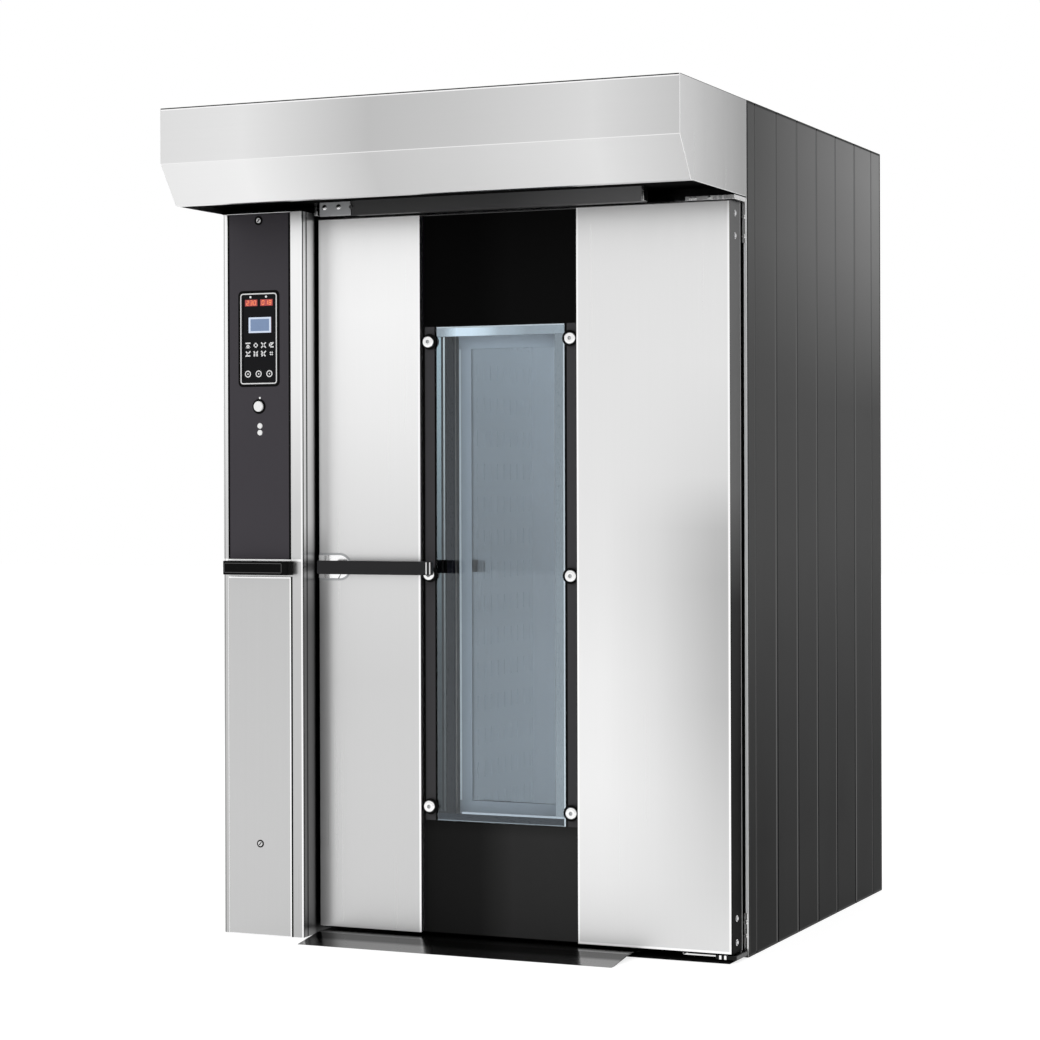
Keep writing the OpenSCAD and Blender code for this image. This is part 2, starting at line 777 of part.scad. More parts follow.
// Raised rim, keypad face with its windows, and the bores of the round keys
module keypad_bezel() color([0.16, 0.16, 0.18]) {
    inner = [keypad_w - 2 * keypad_rim, keypad_h - 2 * keypad_rim];
    difference() {
        union() {
            profile_y(-column_d - rim_proud, -column_d) keypad_outline(keypad_w, keypad_h);
            profile_y(-column_d - 1, -column_d + panel_t) keypad_outline(keypad_w - 4, keypad_h - 4);
        }
        profile_y(-column_d - rim_proud - 1, -column_d - face_proud) keypad_outline(inner[0], inner[1]);
        for (i = [-1, 0, 1])
            rod_y(fascia_x + i * key_pitch, round_key_z, round_key_r + key_gap, -column_d - 3, 0);
        for (d = display_list())
            profile_y(-column_d - 3, -column_d + 1) translate([d[0], d[1]])
                square([d[2] + 2 * seat, d[3] + 2 * seat], center = true);
    }
}

// Centre x, centre z, width and height of each display window
function display_list() = [
    [fascia_x - 24.3, display_z, 39, 18],
    [fascia_x + 24.7, display_z, 39, 18],
    [fascia_x + 3.5, lcd_z, 72, 44]
];

module displays() color([0.7, 0.2, 0.15])
    for (d = display_list()) profile_y(-column_d - 1, -column_d + 1 - seat)
        translate([d[0], d[1]]) square([d[2], d[3]], center = true);

module membrane_keys() color("gainsboro")
    for (col = [-1.5:1:1.5], row = [-0.5, 0.5])
        profile_y(-column_d - face_proud - 1, -column_d - face_proud)
            translate([fascia_x + 3 + col * small_key_pitch[0], small_key_z + row * small_key_pitch[1]])
                rounded_rect(small_key_size, small_key_size, 2);

module round_key(i) {
    x = fascia_x + i * key_pitch;
    front = -column_d - face_proud - round_key_travel - 0.5;
    color("silver") difference() {
        rod_y(x, round_key_z, round_key_r, front, -column_d + 8);
        rod_y(x, round_key_z, round_key_r * 0.62, front - 1, front + 0.6);
    }
}

module key_left() round_key(-1);

module key_middle() round_key(0);

module key_right() round_key(1);

module button_ring() color([0.12, 0.12, 0.13]) difference() {
    rod_y(fascia_x, button_z, push_button_r + 3, -column_d - 2.5, -column_d);
    rod_y(fascia_x, button_z, push_button_r + key_gap, -column_d - 3, -column_d + 1);
}

module push_button() color("white") translate([fascia_x, -column_d, button_z]) rotate([90, 0, 0])
    rotate_extrude() polygon(concat([[0, -22], [push_button_r - 4, -22], [push_button_r - 4, -6],
        [push_button_r, -6]], arc(push_button_r - 3, push_travel + 1, 3, 0, 90, 4), [[0, push_travel + 4.6]]));

module indicator_lamps() color("white") {
    for (z = [button_z - 55, button_z - 74])
        translate([fascia_x + 3, -column_d, z]) rotate([90, 0, 0])
            rotate_extrude() polygon(concat([[0, 0], [8, 0]], arc(6, 1, 2, 0, 90, 3), [[0, 3.4]]));
    rod_y(fascia_x + 3, button_z + 24, 3, -column_d - 1.2, -column_d, small_fn);
}

module quarter_turn(x, z) {
    difference() {
        union() {
            rod_y(x, z, lock_r, -column_d - 1.5, -column_d + 18);
            block([x - 6, -column_d + 14, z - 30], [x + 6, -column_d + 18, z + 6]);
        }
        block([x - 1, -column_d - 3, z - 4.5], [x + 1, -column_d + 0.5, z + 4.5]);
    }
}

module fascia_lock() color("silver") quarter_turn(fascia_x, fascia_lock_z);

module service_lock() color("silver") quarter_turn(fascia_x, service_lock_z);

module service_panel() color("gainsboro") difference() {
    column_panel(seat, service_top);
    rod_y(fascia_x, service_lock_z, lock_r + key_gap, -column_d - 1, 0);
}

// Bumper band, round at its two front corners
module column_band() color([0.08, 0.08, 0.08]) {
    r = 7;
    z0 = (service_top + fascia_bottom - band_h) / 2;
    front = -column_d - band_proud;
    left = fascia_l - 1.5;
    right = fascia_r + 6;
    profile_z(z0, z0 + band_h) polygon(concat([[right, -column_d - seat]],
        [[left, -column_d - seat]], arc(left + r, front + r, r, 180, 270, 6),
        arc(right - r, front + r, r, 270, 360, 6)));
}

// Mounting plate with contactors and the control board, inside the column
module power_unit() color("darkgray") {
    side = 40;
    plate = 3;
    back = -sheet_t - 2 * seat;
    face = back - plate - seat;
    x0 = -cab_r + side;
    x1 = column_r - side;
    z1 = column_h - 290;
    pitch = (x1 - x0 - 12) / 3;
    block([x0, back - plate, z1 - 1250], [x1, back, z1]);
    for (i = [0:2]) block([x0 + 12 + i * pitch, face - 74, z1 - 600], [x0 + i * pitch + pitch, face, z1 - 520]);
    block([x0 + 10, face - 36, z1 - 300], [x1 - 10, face, z1 - 100]);
    block([x0 + 10, face - 56, z1 - 1050], [x1 - 10, face, z1 - 850]);
}

// ---- hinges, latch keeper and the parts above the door ----

module hinge_bolt(x, z) {
    rod_y(x, z, 5.5, -8.5 - seat, -5, 6);
}

module hinge_brackets() color("silver") {
    plate = 12;
    low = door_bottom - bracket_gap;
    high = door_top + bracket_gap;
    leg_x = [door_r + 1, cab_r - 1];
    front = hinge_y - bush_half;
    block([hinge_x - bush_half, front, low - plate], [leg_x[1], -seat, low]);
    rod_z(hinge_x, hinge_y, hinge_pin_r, low - 1, low + bracket_gap + sheet_t + hinge_pin_len);
    block([leg_x[0], -5, low - plate], [leg_x[1], -seat, 120]);
    block([hinge_x - 5 * bush_half, front, high], [leg_x[1], -seat, high + plate]);
    rod_z(hinge_x, hinge_y, hinge_pin_r, high - bracket_gap - sheet_t - hinge_pin_len, high + 1);
    block([leg_x[0], -5, high - 110], [leg_x[1], -seat, high + plate]);
    for (z = [60, 96, high - 92, high - 40]) hinge_bolt((leg_x[0] + leg_x[1]) / 2, z);
    for (x = [-4.2, -3.6, -1.6]) rod_y(hinge_x + x * bush_half, high + plate / 2, 4, front - 4, front + 1, 6);
}

// Deflector bar above the door and the plate that fixes its left end
module steam_deflector() color([0.32, 0.33, 0.34]) {
    top = filter_z - seat;
    low = door_top + 4;
    front = door_front - 30;
    plate_w = deflector_l - door_l - 20;
    plate_l = deflector_l - plate_w;
    profile_x(deflector_l, deflector_r)
        folded([[door_front, top], [front, top], [front, low], [door_front, low]]);
    block([plate_l, front + 4, low], [deflector_l - seat, front + 7, top]);
    for (x = [12, 60, 98]) rod_y(plate_l + x, low + 24, 5, front - 0.5, front + 4, small_fn);
}

// Fixed keeper with a round nose that the latch slides behind
module latch_keeper() color("silver") {
    nose_r = 12;
    face = door_l - latch_tip - keeper_gap;
    back = column_r - sheet_t - seat;
    rod_z(face - nose_r, latch_y, nose_r, handle_z - 14, handle_z + 14);
    block([face - nose_r - 30, latch_y - 11, handle_z - 14], [face - nose_r, latch_y + 11, handle_z + 14]);
    block([back - 4, latch_y - 40, handle_z - 13], [back, latch_y + 40, handle_z + 13]);
}

// ---- door ----

module door_left_skin() color("whitesmoke") difference() {
    profile_z(door_bottom + sheet_t, door_top - sheet_t)
        folded([[door_l, door_back - sheet_t], [door_l, door_front], [strip_l, door_front],
            [strip_l, strip_front + sheet_t]]);
    rod_y(spindle_x, handle_z, spindle_r + 1, door_front - 1, door_front + 5);
    block([door_l - 1, latch_y - latch_t / 2 - 1, handle_z - 0.9 * spindle_inset],
        [door_l + 3 * sheet_t, latch_y + latch_t / 2 + 1, handle_z + latch_half_h + 4]);
}

module door_right_skin() color("whitesmoke")
    profile_z(door_bottom + sheet_t, door_top - sheet_t)
        folded([[strip_r, strip_front + sheet_t], [strip_r, door_front], [door_r - sheet_t, door_front]]
            , sheet_t);

module window_hole(y0, y1, grow = 0) {
    block([window_l - grow, y0, window_z0 - grow], [window_r + grow, y1, window_z1 + grow]);
}

module door_centre_panel() color([0.05, 0.05, 0.06]) difference() {
    block([strip_l + seat, strip_front, door_bottom + sheet_t],
        [strip_r - seat, strip_front + sheet_t, door_top - sheet_t]);
    window_hole(strip_front - 1, strip_front + sheet_t + 1);
}

// Caps on the top and bottom, and the dark strip down the hinge edge
module door_edges() color([0.06, 0.06, 0.06]) {
    notch = strip_recess + seat;
    difference() {
        for (z = [door_bottom, door_top - sheet_t]) profile_z(z, z + sheet_t - seat / 2)
            polygon([[door_l, door_back - sheet_t - seat], [door_l, door_front], [strip_l, door_front],
                [strip_l, strip_front], [strip_r, strip_front], [strip_r, door_front],
                [door_r, door_front], [door_r, door_back - sheet_t - seat]]);
        rod_z(hinge_x, hinge_y, hinge_pin_r + 1, 0, door_top + 10);
    }
    block([door_r - sheet_t + seat / 2, door_front, door_bottom + sheet_t],
        [door_r, door_back - sheet_t - seat, door_top - sheet_t - seat / 2]);
}

module door_inner_skin() color("silver") difference() {
    block([door_l, door_back - sheet_t, door_bottom], [door_r, door_back, door_top]);
    window_hole(door_back - sheet_t - 1, door_back + 1);
}

module door_insulation() color("khaki") difference() {
    z0 = door_bottom + sheet_t + seat;
    z1 = door_top - sheet_t - seat;
    in = sheet_t + seat;
    back = door_back - in;
    cavity = bush_half + seat;
    union() {
        block([door_l + in, door_front + in, z0], [strip_l - in, back, z1]);
        block([strip_l - 2 * in, strip_front + in, z0], [strip_r + 2 * in, back, z1]);
        block([strip_r + in, door_front + in, z0], [door_r - in, back, z1]);
    }
    window_hole(door_front, 0, reveal_t + seat);
    window_hole(back - glass_t - 2 * seat, 0, inner_glass_lap + seat);
    for (z = [z0 - 1, z1 - bush_len - seat])
        block([hinge_x - cavity, hinge_y - cavity, z], [door_r, hinge_y + cavity, z + bush_len + seat + 1]);
    rod_y(spindle_x, handle_z, spindle_r + passing, door_front, latch_y);
    block([door_l, latch_y - latch_t / 2 - passing, handle_z - spindle_inset],
        [spindle_x + boss_r + 6, latch_y + latch_t / 2 + passing, handle_z + spindle_inset / 2]);
}

// Four plates that line the window between the panes
module window_reveal() color([0.3, 0.31, 0.32]) {
    y0 = strip_front + sheet_t + seat;
    y1 = door_back - sheet_t - glass_t - 2 * seat;
    t = reveal_t;
    for (x = [window_l - t, window_r]) block([x, y0, window_z0], [x + t, y1, window_z1]);
    for (z = [window_z0 - t, window_z1])
        block([window_l - t, y0, z + (z < window_z1 ? -seat : seat)],
            [window_r + t, y1, z + t + (z < window_z1 ? -seat : seat)]);
}

module window_outer_glass() color([0.5, 0.6, 0.66, 0.5])
    block([pane_l, pane_front, pane_bottom], [pane_r, pane_back, pane_top]);

module window_inner_glass() color([0.5, 0.6, 0.66, 0.5])
    window_hole(door_back - sheet_t - seat - glass_t, door_back - sheet_t - seat, inner_glass_lap);

// Heights of the three pairs of glass buttons
function button_heights() = [pane_bottom + 39, (pane_bottom + pane_top) / 2 - 2, pane_top - 41.5];

// Round buttons whose wide washers hold the pane by its edge
module glass_buttons() color("white")
    for (x = [pane_l - button_offset, pane_r + button_offset], z = button_heights())
        translate([x, pane_front, z]) rotate([90, 0, 0]) {
            rotate_extrude() polygon(concat([[0, 1.5], [button_r, 1.5]],
                arc(button_r - 3, 7, 3, 0, 90, 4), [[0, 10.6]]));
            translate([(x < strip_x ? 1 : -1) * 4, 0, seat]) cylinder(r = button_r + 3, h = 2);
            translate([0, 0, pane_front - strip_front + seat]) cylinder(r = 7, h = strip_front - pane_front);
        }

// Silicone seal round the back of the door, kept to the handle side of the hinge axis
module door_gasket() color([0.55, 0.2, 0.15]) {
    x0 = door_l + 18;
    x1 = hinge_x - 25;
    z0 = door_bottom + 2;
    z1 = door_top - 17;
    profile_y(door_back, -seat) difference() {
        translate([x0, z0]) square([x1 - x0, z1 - z0]);
        translate([x0 + seal_w, z0 + seal_w]) square([x1 - x0 - 2 * seal_w, z1 - z0 - 2 * seal_w]);
    }
}

module door_bushes() color("goldenrod")
    for (z = [door_bottom + sheet_t + seat, door_top - sheet_t - seat - bush_len]) difference() {
        block([hinge_x - bush_half, hinge_y - bush_half, z],
            [door_r - sheet_t - seat, hinge_y + bush_half, z + bush_len]);
        rod_z(hinge_x, hinge_y, hinge_pin_r + running, z - 1, z + bush_len + 1);
    }

// Plate under the handle, round at one end, with the spindle's bearing boss
module handle_plate() color("silver") difference() {
    union() {
        profile_y(door_front - plate_t, door_front) union() {
            translate([spindle_x, handle_z]) circle(plate_r);
            translate([door_l, handle_z - plate_r]) square([spindle_inset, 2 * plate_r]);
        }
        rod_y(spindle_x, handle_z, boss_r, door_front - plate_t - boss_len, door_front - plate_t + 1);
    }
    rod_y(spindle_x, handle_z, spindle_r + running, door_front - 30, door_front + 1);
}

// Grip bar, spindle and the latch arm that it turns
module door_handle() color([0.06, 0.06, 0.06]) {
    r = 5;
    x0 = spindle_x - tail_len;
    x1 = spindle_x + grip_len;
    hub_back = door_front - plate_t - boss_len - seat;
    translate([(x0 + x1) / 2, 0, handle_z]) profile_y(bar_back - bar_t, bar_back)
        rounded_rect(x1 - x0, bar_h, r);
    rod_y(spindle_x, handle_z, boss_r + 2, bar_back - 1, hub_back);
    rod_y(spindle_x, handle_z, spindle_r, bar_back, latch_y + latch_t / 2);
    block([door_l - latch_tip, latch_y - latch_t / 2, handle_z - latch_half_h],
        [spindle_x, latch_y + latch_t / 2, handle_z + latch_half_h]);
    rod_y(spindle_x, handle_z, boss_r, latch_y - latch_t / 2, latch_y + latch_t / 2);
}

// ---- what is drawn ----

base_frame();
floor_plate();
entry_ramp();
front_frame();
right_cladding();
left_cladding();
rear_cladding();
roof_panel();
wall_insulation();
chamber_walls();
chamber_ceiling();
air_diffuser();
hood_front();
hood_top();
hood_ends();
hood_filters();
exhaust_spigot();
column_housing();
control_fascia();
keypad_bezel();
displays();
membrane_keys();
indicator_lamps();
button_ring();
service_panel();
column_band();
power_unit();
hinge_brackets();
steam_deflector();
latch_keeper();
heating_elements();
steam_troughs();
fan_shelf();
fan_motor();
rack_gearmotor();
vent_pipe();
supply_inlets();
door_left_skin();
door_right_skin();
door_centre_panel();
door_edges();
door_inner_skin();
door_insulation();
window_reveal();
window_outer_glass();
window_inner_glass();
glass_buttons();
door_gasket();
door_bushes();
handle_plate();
door_handle();
rack_carrier();
circulation_impeller();
steam_damper();
key_left();
key_middle();
key_right();
push_button();
fascia_lock();
service_lock();
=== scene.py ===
# %% [markdown]
# # Dressing a rotating rack oven
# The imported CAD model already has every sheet, pin and pane in its real place. What it lacks is
# what light does to them: brushed grain, rolled folds, ground glass edges, lit displays. One way
# would be to rebuild the oven by hand; instead the model is loaded as a fixed frame, its surfaces
# get procedural finishes, and only what CAD leaves too plain is made again as a finer mesh.

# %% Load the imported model
import json
from math import cos, pi, radians, sin
import bmesh
import bpy
from mathutils import Matrix, Vector

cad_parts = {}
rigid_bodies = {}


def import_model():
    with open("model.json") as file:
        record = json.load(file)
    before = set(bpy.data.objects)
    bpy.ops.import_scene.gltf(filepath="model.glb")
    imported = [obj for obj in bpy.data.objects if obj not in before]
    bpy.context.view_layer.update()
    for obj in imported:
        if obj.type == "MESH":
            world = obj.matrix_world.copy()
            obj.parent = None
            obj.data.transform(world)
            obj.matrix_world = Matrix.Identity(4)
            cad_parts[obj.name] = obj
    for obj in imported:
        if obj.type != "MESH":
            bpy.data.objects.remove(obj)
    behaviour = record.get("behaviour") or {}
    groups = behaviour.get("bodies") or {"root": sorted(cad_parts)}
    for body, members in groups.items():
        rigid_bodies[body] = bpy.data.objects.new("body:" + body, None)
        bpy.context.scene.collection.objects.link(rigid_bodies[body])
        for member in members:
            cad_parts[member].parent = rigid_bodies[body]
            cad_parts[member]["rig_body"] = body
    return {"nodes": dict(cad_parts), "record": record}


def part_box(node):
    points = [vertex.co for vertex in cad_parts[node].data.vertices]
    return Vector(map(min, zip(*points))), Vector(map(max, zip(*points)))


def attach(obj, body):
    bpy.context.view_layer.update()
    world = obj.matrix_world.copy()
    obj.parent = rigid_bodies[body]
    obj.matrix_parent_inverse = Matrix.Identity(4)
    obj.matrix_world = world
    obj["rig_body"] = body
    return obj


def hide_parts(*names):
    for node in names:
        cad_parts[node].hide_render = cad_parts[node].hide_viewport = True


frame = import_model()
nodes = frame["nodes"]
body_of = {name: node["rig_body"] for name, node in nodes.items()}
slot_of = {part["node"]: part["material_slot"] for part in frame["record"]["subparts"]}
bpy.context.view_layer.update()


def new_object(name, data):
    """An object in the scene that holds the mesh, lamp or camera given."""
    made = bpy.data.objects.new(name, data)
    bpy.context.scene.collection.objects.link(made)
    return made


# %% [markdown]
# ## The camera
# The photograph was taken from the right, about seven metres away, at chest height and with the
# back of the camera upright, so that vertical edges stay parallel. A lens aimed by eye would never
# match it. The place, turn and tilt below come from a camera fitted to edges whose size is known,
# and the lens shift keeps the horizon where the photograph has it.

# %% Place the camera
camera_place = (3.051034, -6.768116, 1.264094)
photo_side, focal_length, sensor = 1040, 2657.7, 36  # pixels, pixels, millimetres
yaw, pitch, roll = (radians(a) for a in (23.602, -0.014, -0.171))
ahead = Vector((-sin(yaw) * cos(pitch), cos(yaw) * cos(pitch), sin(pitch)))
level = Vector((cos(yaw), sin(yaw), 0))
upright = level.cross(ahead)
side = level * cos(roll) + upright * sin(roll)
top = upright * cos(roll) - level * sin(roll)
camera = new_object("camera", bpy.data.cameras.new("camera"))
camera.matrix_world = Matrix.Translation(camera_place) @ Matrix(
    (side, top, -ahead)).transposed().to_4x4()
camera.data.sensor_width = sensor
camera.data.lens = focal_length / photo_side * sensor
camera.data.shift_x, camera.data.shift_y = -0.00109, -0.03138
camera.data.clip_end = 200
bpy.context.scene.camera = camera
bpy.context.scene.view_settings.view_transform = "Standard"
print("lens", round(camera.data.lens, 1), "mm")

# %% [markdown]
# ## A small language for finishes
# Materials are graphs of nodes. Clicking them together is quick for one material and slow for
# sixty, and plain bpy calls hide the idea among links. The class below wraps a socket, so that
# an expression such as `1 - mask * 0.5` builds its own nodes, and one method makes any other node.

# %% A wire that understands arithmetic
class Wire:
    """A node's output that takes part in Python expressions."""

    def __init__(self, recipe, socket):
        self.recipe, self.socket = recipe, socket

    def combine(self, operation, first, second):
        kinds = {wire.socket.type for wire in (first, second) if isinstance(wire, Wire)}
        if "RGBA" in kinds:
            return self.recipe.node("Mix", {0: 1.0, 6: first, 7: second}, 2, data_type="RGBA",
                                    blend_type=operation)
        kind = "VectorMath" if "VECTOR" in kinds else "Math"
        return self.recipe.node(kind, {0: first, 1: second}, operation=operation)

    def __add__(self, other): return self.combine("ADD", self, other)
    def __radd__(self, other): return self.combine("ADD", other, self)
    def __sub__(self, other): return self.combine("SUBTRACT", self, other)
    def __rsub__(self, other): return self.combine("SUBTRACT", other, self)
    def __mul__(self, other): return self.combine("MULTIPLY", self, other)


# %% A recipe that makes the nodes
class Recipe:
    """The node tree of a new material, which is named, or of a world."""

    def __init__(self, owner):
        if isinstance(owner, str):
            owner = bpy.data.materials.new(owner)
        owner.use_nodes = True
        self.owner, self.tree = owner, owner.node_tree
        self.tree.nodes.clear()

    def node(self, kind, inputs=(), output=0, **settings):
        """A shader node of that kind; inputs are pairs, or a dictionary, of socket and value."""
        made = self.tree.nodes.new("ShaderNode" + kind)
        for name, value in settings.items():
            if name == "stops":
                for place, tone in value[1:-1]:
                    made.color_ramp.elements.new(place)
                for element, (place, tone) in zip(made.color_ramp.elements, value):
                    element.color = (tone, tone, tone, 1)
            else:
                setattr(made, name, value)
        for name, value in dict(inputs).items():
            self.put(made.inputs[name], value)
        return Wire(self, made.outputs[output]) if len(made.outputs) else None

    def put(self, socket, value):
        if isinstance(value, Wire):
            self.tree.links.new(value.socket, socket)
        elif socket.type == "RGBA":
            value = value[:3] if hasattr(value, "__len__") else (value,) * 3
            socket.default_value = (*value, 1)
        elif socket.type == "VECTOR" and not hasattr(value, "__len__"):
            socket.default_value = (value,) * 3
        else:
            socket.default_value = value

    def noise(self, stretch, detail=3.0, roughness=0.55):
        """Noise from 0 to 1; stretch is how often a metre it varies, or that along x, y and z."""
        place = self.node("TexCoord", output="Object")
        inputs = {"Vector": place * stretch, "Scale": 1.0, "Detail": detail, "Roughness": roughness}
        return self.node("TexNoise", inputs)

    def between(self, factor, first, second):
        return self.node("Mix", {0: factor, 6: first, 7: second}, 2, data_type="RGBA")

    def bump(self, height, depth, strength=1.0):
        """A normal for a relief of that depth, in metres."""
        return self.node("Bump", {"Strength": strength, "Distance": depth, "Height": height})

    def surface(self, inputs):
        shader = self.node("BsdfPrincipled", inputs)
        self.node("OutputMaterial", {"Surface": shader})
        return self.owner


print("wires add, subtract and multiply")

# %% [markdown]
# ## Studio
# The photograph has a white surround and light from all sides. A strong lamp with a white sky
# would burn out the pale steel. So the sky is only white where it is seen, straight on, mirrored
# or through glass, and it lights at a lower level, with broad soft lamps for shape. The floor
# plays the same trick and still keeps a contact shadow. A grey card shows only in mirrors.

# %% Sky and floor
def seen(recipe):
    """1 where a ray from the camera, a mirror or a pane arrives, else 0."""
    camera_ray, glossy_ray, pane_ray = (
        recipe.node("LightPath", output=name)
        for name in ("Is Camera Ray", "Is Glossy Ray", "Is Transmission Ray"))
    mirrored = glossy_ray.combine("MAXIMUM", glossy_ray, pane_ray)
    return camera_ray.combine("MAXIMUM", camera_ray, mirrored)


world = bpy.data.worlds.new("studio")
bpy.context.scene.world = world
sky = Recipe(world)
sky_light, sky_seen = 0.8, 1.0
background = sky.node("Background", {
    "Color": 1.0, "Strength": seen(sky) * (sky_seen - sky_light) + sky_light})
sky.node("OutputWorld", {"Surface": background})

floor_finish = Recipe("studio_floor")
paint = floor_finish.node("BsdfDiffuse", {"Color": 0.9})
glow = floor_finish.node("Emission", {"Color": 1.0, "Strength": 1.42})
lit = floor_finish.node("MixShader", {0: seen(floor_finish) * 0.55, 1: paint, 2: glow})
floor_finish.node("OutputMaterial", {"Surface": lit})


def studio_sheet(name, corners, finish):
    """One flat face that belongs to the studio and not to the oven."""
    mesh = bpy.data.meshes.new(name)
    mesh.from_pydata(corners, [], [(0, 1, 2, 3)])
    mesh.materials.append(finish.owner)
    sheet = new_object(name, mesh)
    return sheet


floor_half, floor_z = 30, -0.001
studio_sheet("studio_floor", [(x * floor_half, y * floor_half, floor_z)
                              for x, y in ((-1, -1), (1, -1), (1, 1), (-1, 1))], floor_finish)
print("sky and floor ready")

# %% Soft lamps
def soft_lamp(name, place, target, width, height, watts):
    """A broad lamp that lights but isn't mirrored in the steel."""
    data = bpy.data.lights.new(name, "AREA")
    data.shape, data.size, data.size_y, data.energy = "RECTANGLE", width, height, watts
    lamp = new_object(name, data)
    lamp.location = place
    lamp.rotation_euler = (Vector(target) - Vector(place)).to_track_quat("-Z", "Y").to_euler()
    lamp.visible_glossy = False


soft_lamp("key_lamp", (-3.4, -5.2, 4.2), (0, 0, 1.4), 4.0, 4.0, 88)
soft_lamp("side_lamp", (3.2, 1.0, 4.2), (0.75, 0.7, 2.2), 1.6, 2.4, 30)
soft_lamp("rear_lamp", (-1.5, 5.5, 3.6), (0, 1.3, 1.2), 4.0, 3.0, 80)
soft_lamp("chamber_lamp", (0.60, 0.13, 1.1), (-0.2, 0.9, 1.1), 0.05, 1.6, 2.5)

card_finish = Recipe("grey_card")
card_finish.node("OutputMaterial", {"Surface": card_finish.node(
    "Emission", {"Color": 1.0, "Strength": 0.22})})
card = studio_sheet("grey_card", [(6, 1.5, 0), (6, 12, 0), (6, 12, 6), (6, 1.5, 6)], card_finish)
card.visible_camera = card.visible_diffuse = card.visible_shadow = card.visible_transmission = False

# %% [markdown]
# ## Finishes
# Nearly all of this oven is sheet metal, so the finishes differ in small ways that the eye still
# reads: stainless steel with its grain along the sheet, grey powder coat with an orange-peel skin,
# zinc on what nobody sees. Each is a function of where the surface lies, in metres, so that the
# grain has its real size on every sheet and nothing has to be unwrapped.

# %% Brushed stainless steel
def sheen(recipe, axis, stops):
    """A tone that changes along x, y or z; stops are pairs of a place in metres and a tone."""
    first, last = stops[0][0], stops[-1][0]
    place = recipe.node("TexCoord", output="Object")
    place = recipe.node("SeparateXYZ", {0: place}, "XYZ".index(axis))
    along = recipe.node("MapRange", {"Value": place, "From Min": first, "From Max": last})
    return recipe.node("ValToRGB", {0: along}, stops=[
        ((spot - first) / (last - first), tone) for spot, tone in stops])


def shades(colour, low, high, most=9):
    """Two shades of a colour, or of a grey that is given as one number."""
    colour = colour if hasattr(colour, "__len__") else (colour,) * 3
    return [[min(most, c * share) for c in colour] for share in (low, high)]


def bands(recipe, axis, places, half):
    """1 in narrow bands across an axis, else 0."""
    margin, fade = 4 * half, 1.2 * half
    stops = [(places[0] - margin, 0.0)]
    for place in places:
        stops += [(place - fade, 0.0), (place - half, 1.0), (place + half, 1.0), (place + fade, 0.0)]
    return sheen(recipe, axis, stops + [(places[-1] + margin, 0.0)])


upright_grain, level_grain = (900, 900, 6), (6, 900, 900)  # how often the grain varies, per metre


def stainless(name, tone, roughness=0.32, cloud=0.05, axis="Z", stops=None, stretch=upright_grain,
              cross=None, dim=None, rims=(), grooves=(), bare=None):
    """Grain drawn out where stretch is low; cloud is how far the tone drifts over the sheet. Stops
    (along axis) and cross (an axis and its stops) are ramps of painted light, and the shadow patch is
    two ramps whose product darkens, a painted shadow. Of the two lists of lines, the first holds
    painted highlights and the second painted shade in creases and gaps; both are tuples of an axis,
    places and half a width. Bare is a ramp that says where the metal is bare (1) and where it is a
    pale matt strip (0), which paints a highlight."""
    recipe = Recipe(name)
    grain = recipe.noise(stretch, 4.0, 0.7)
    streak = recipe.noise([s / 9 for s in stretch], 2.0)
    drift = recipe.noise((1.3, 1.3, 0.9), 2.0)
    shade = (grain - 0.5) * 0.5 + (streak - 0.5) * 0.5 + (drift - 0.5) * (cloud * 12) + 0.5
    base = recipe.between(shade, *shades(tone, 0.95, 1.04, 1))
    # Ramps of painted light, then a painted shadow from the product of two ramps.
    if stops:
        base = base * sheen(recipe, axis, stops)
    if cross:
        base = base * sheen(recipe, *cross)
    if dim:
        base = base * (1.0 - sheen(recipe, *dim[0]) * sheen(recipe, *dim[1]))
    # Lines of painted highlight, then lines of painted shade in creases and gaps.
    for line_tone, lines in ((0.97, rims), (0.02, grooves)):
        for line in lines:
            base = recipe.between(bands(recipe, *line), base, line_tone)
    return recipe.surface({
        "Base Color": base, "Metallic": sheen(recipe, *bare) if bare else 1.0,
        "Roughness": roughness + (streak - 0.5) * 0.12 + (drift - 0.5) * 0.1,
        "Normal": recipe.bump(grain, 0.00003, 0.5)})


def ramped(name, axis, stops, roughness=0.30, cloud=0.02, **more):
    """Stainless steel whose whole tone comes from a ramp of painted light along one axis."""
    return stainless(name, 1, roughness, cloud, axis, stops, **more)


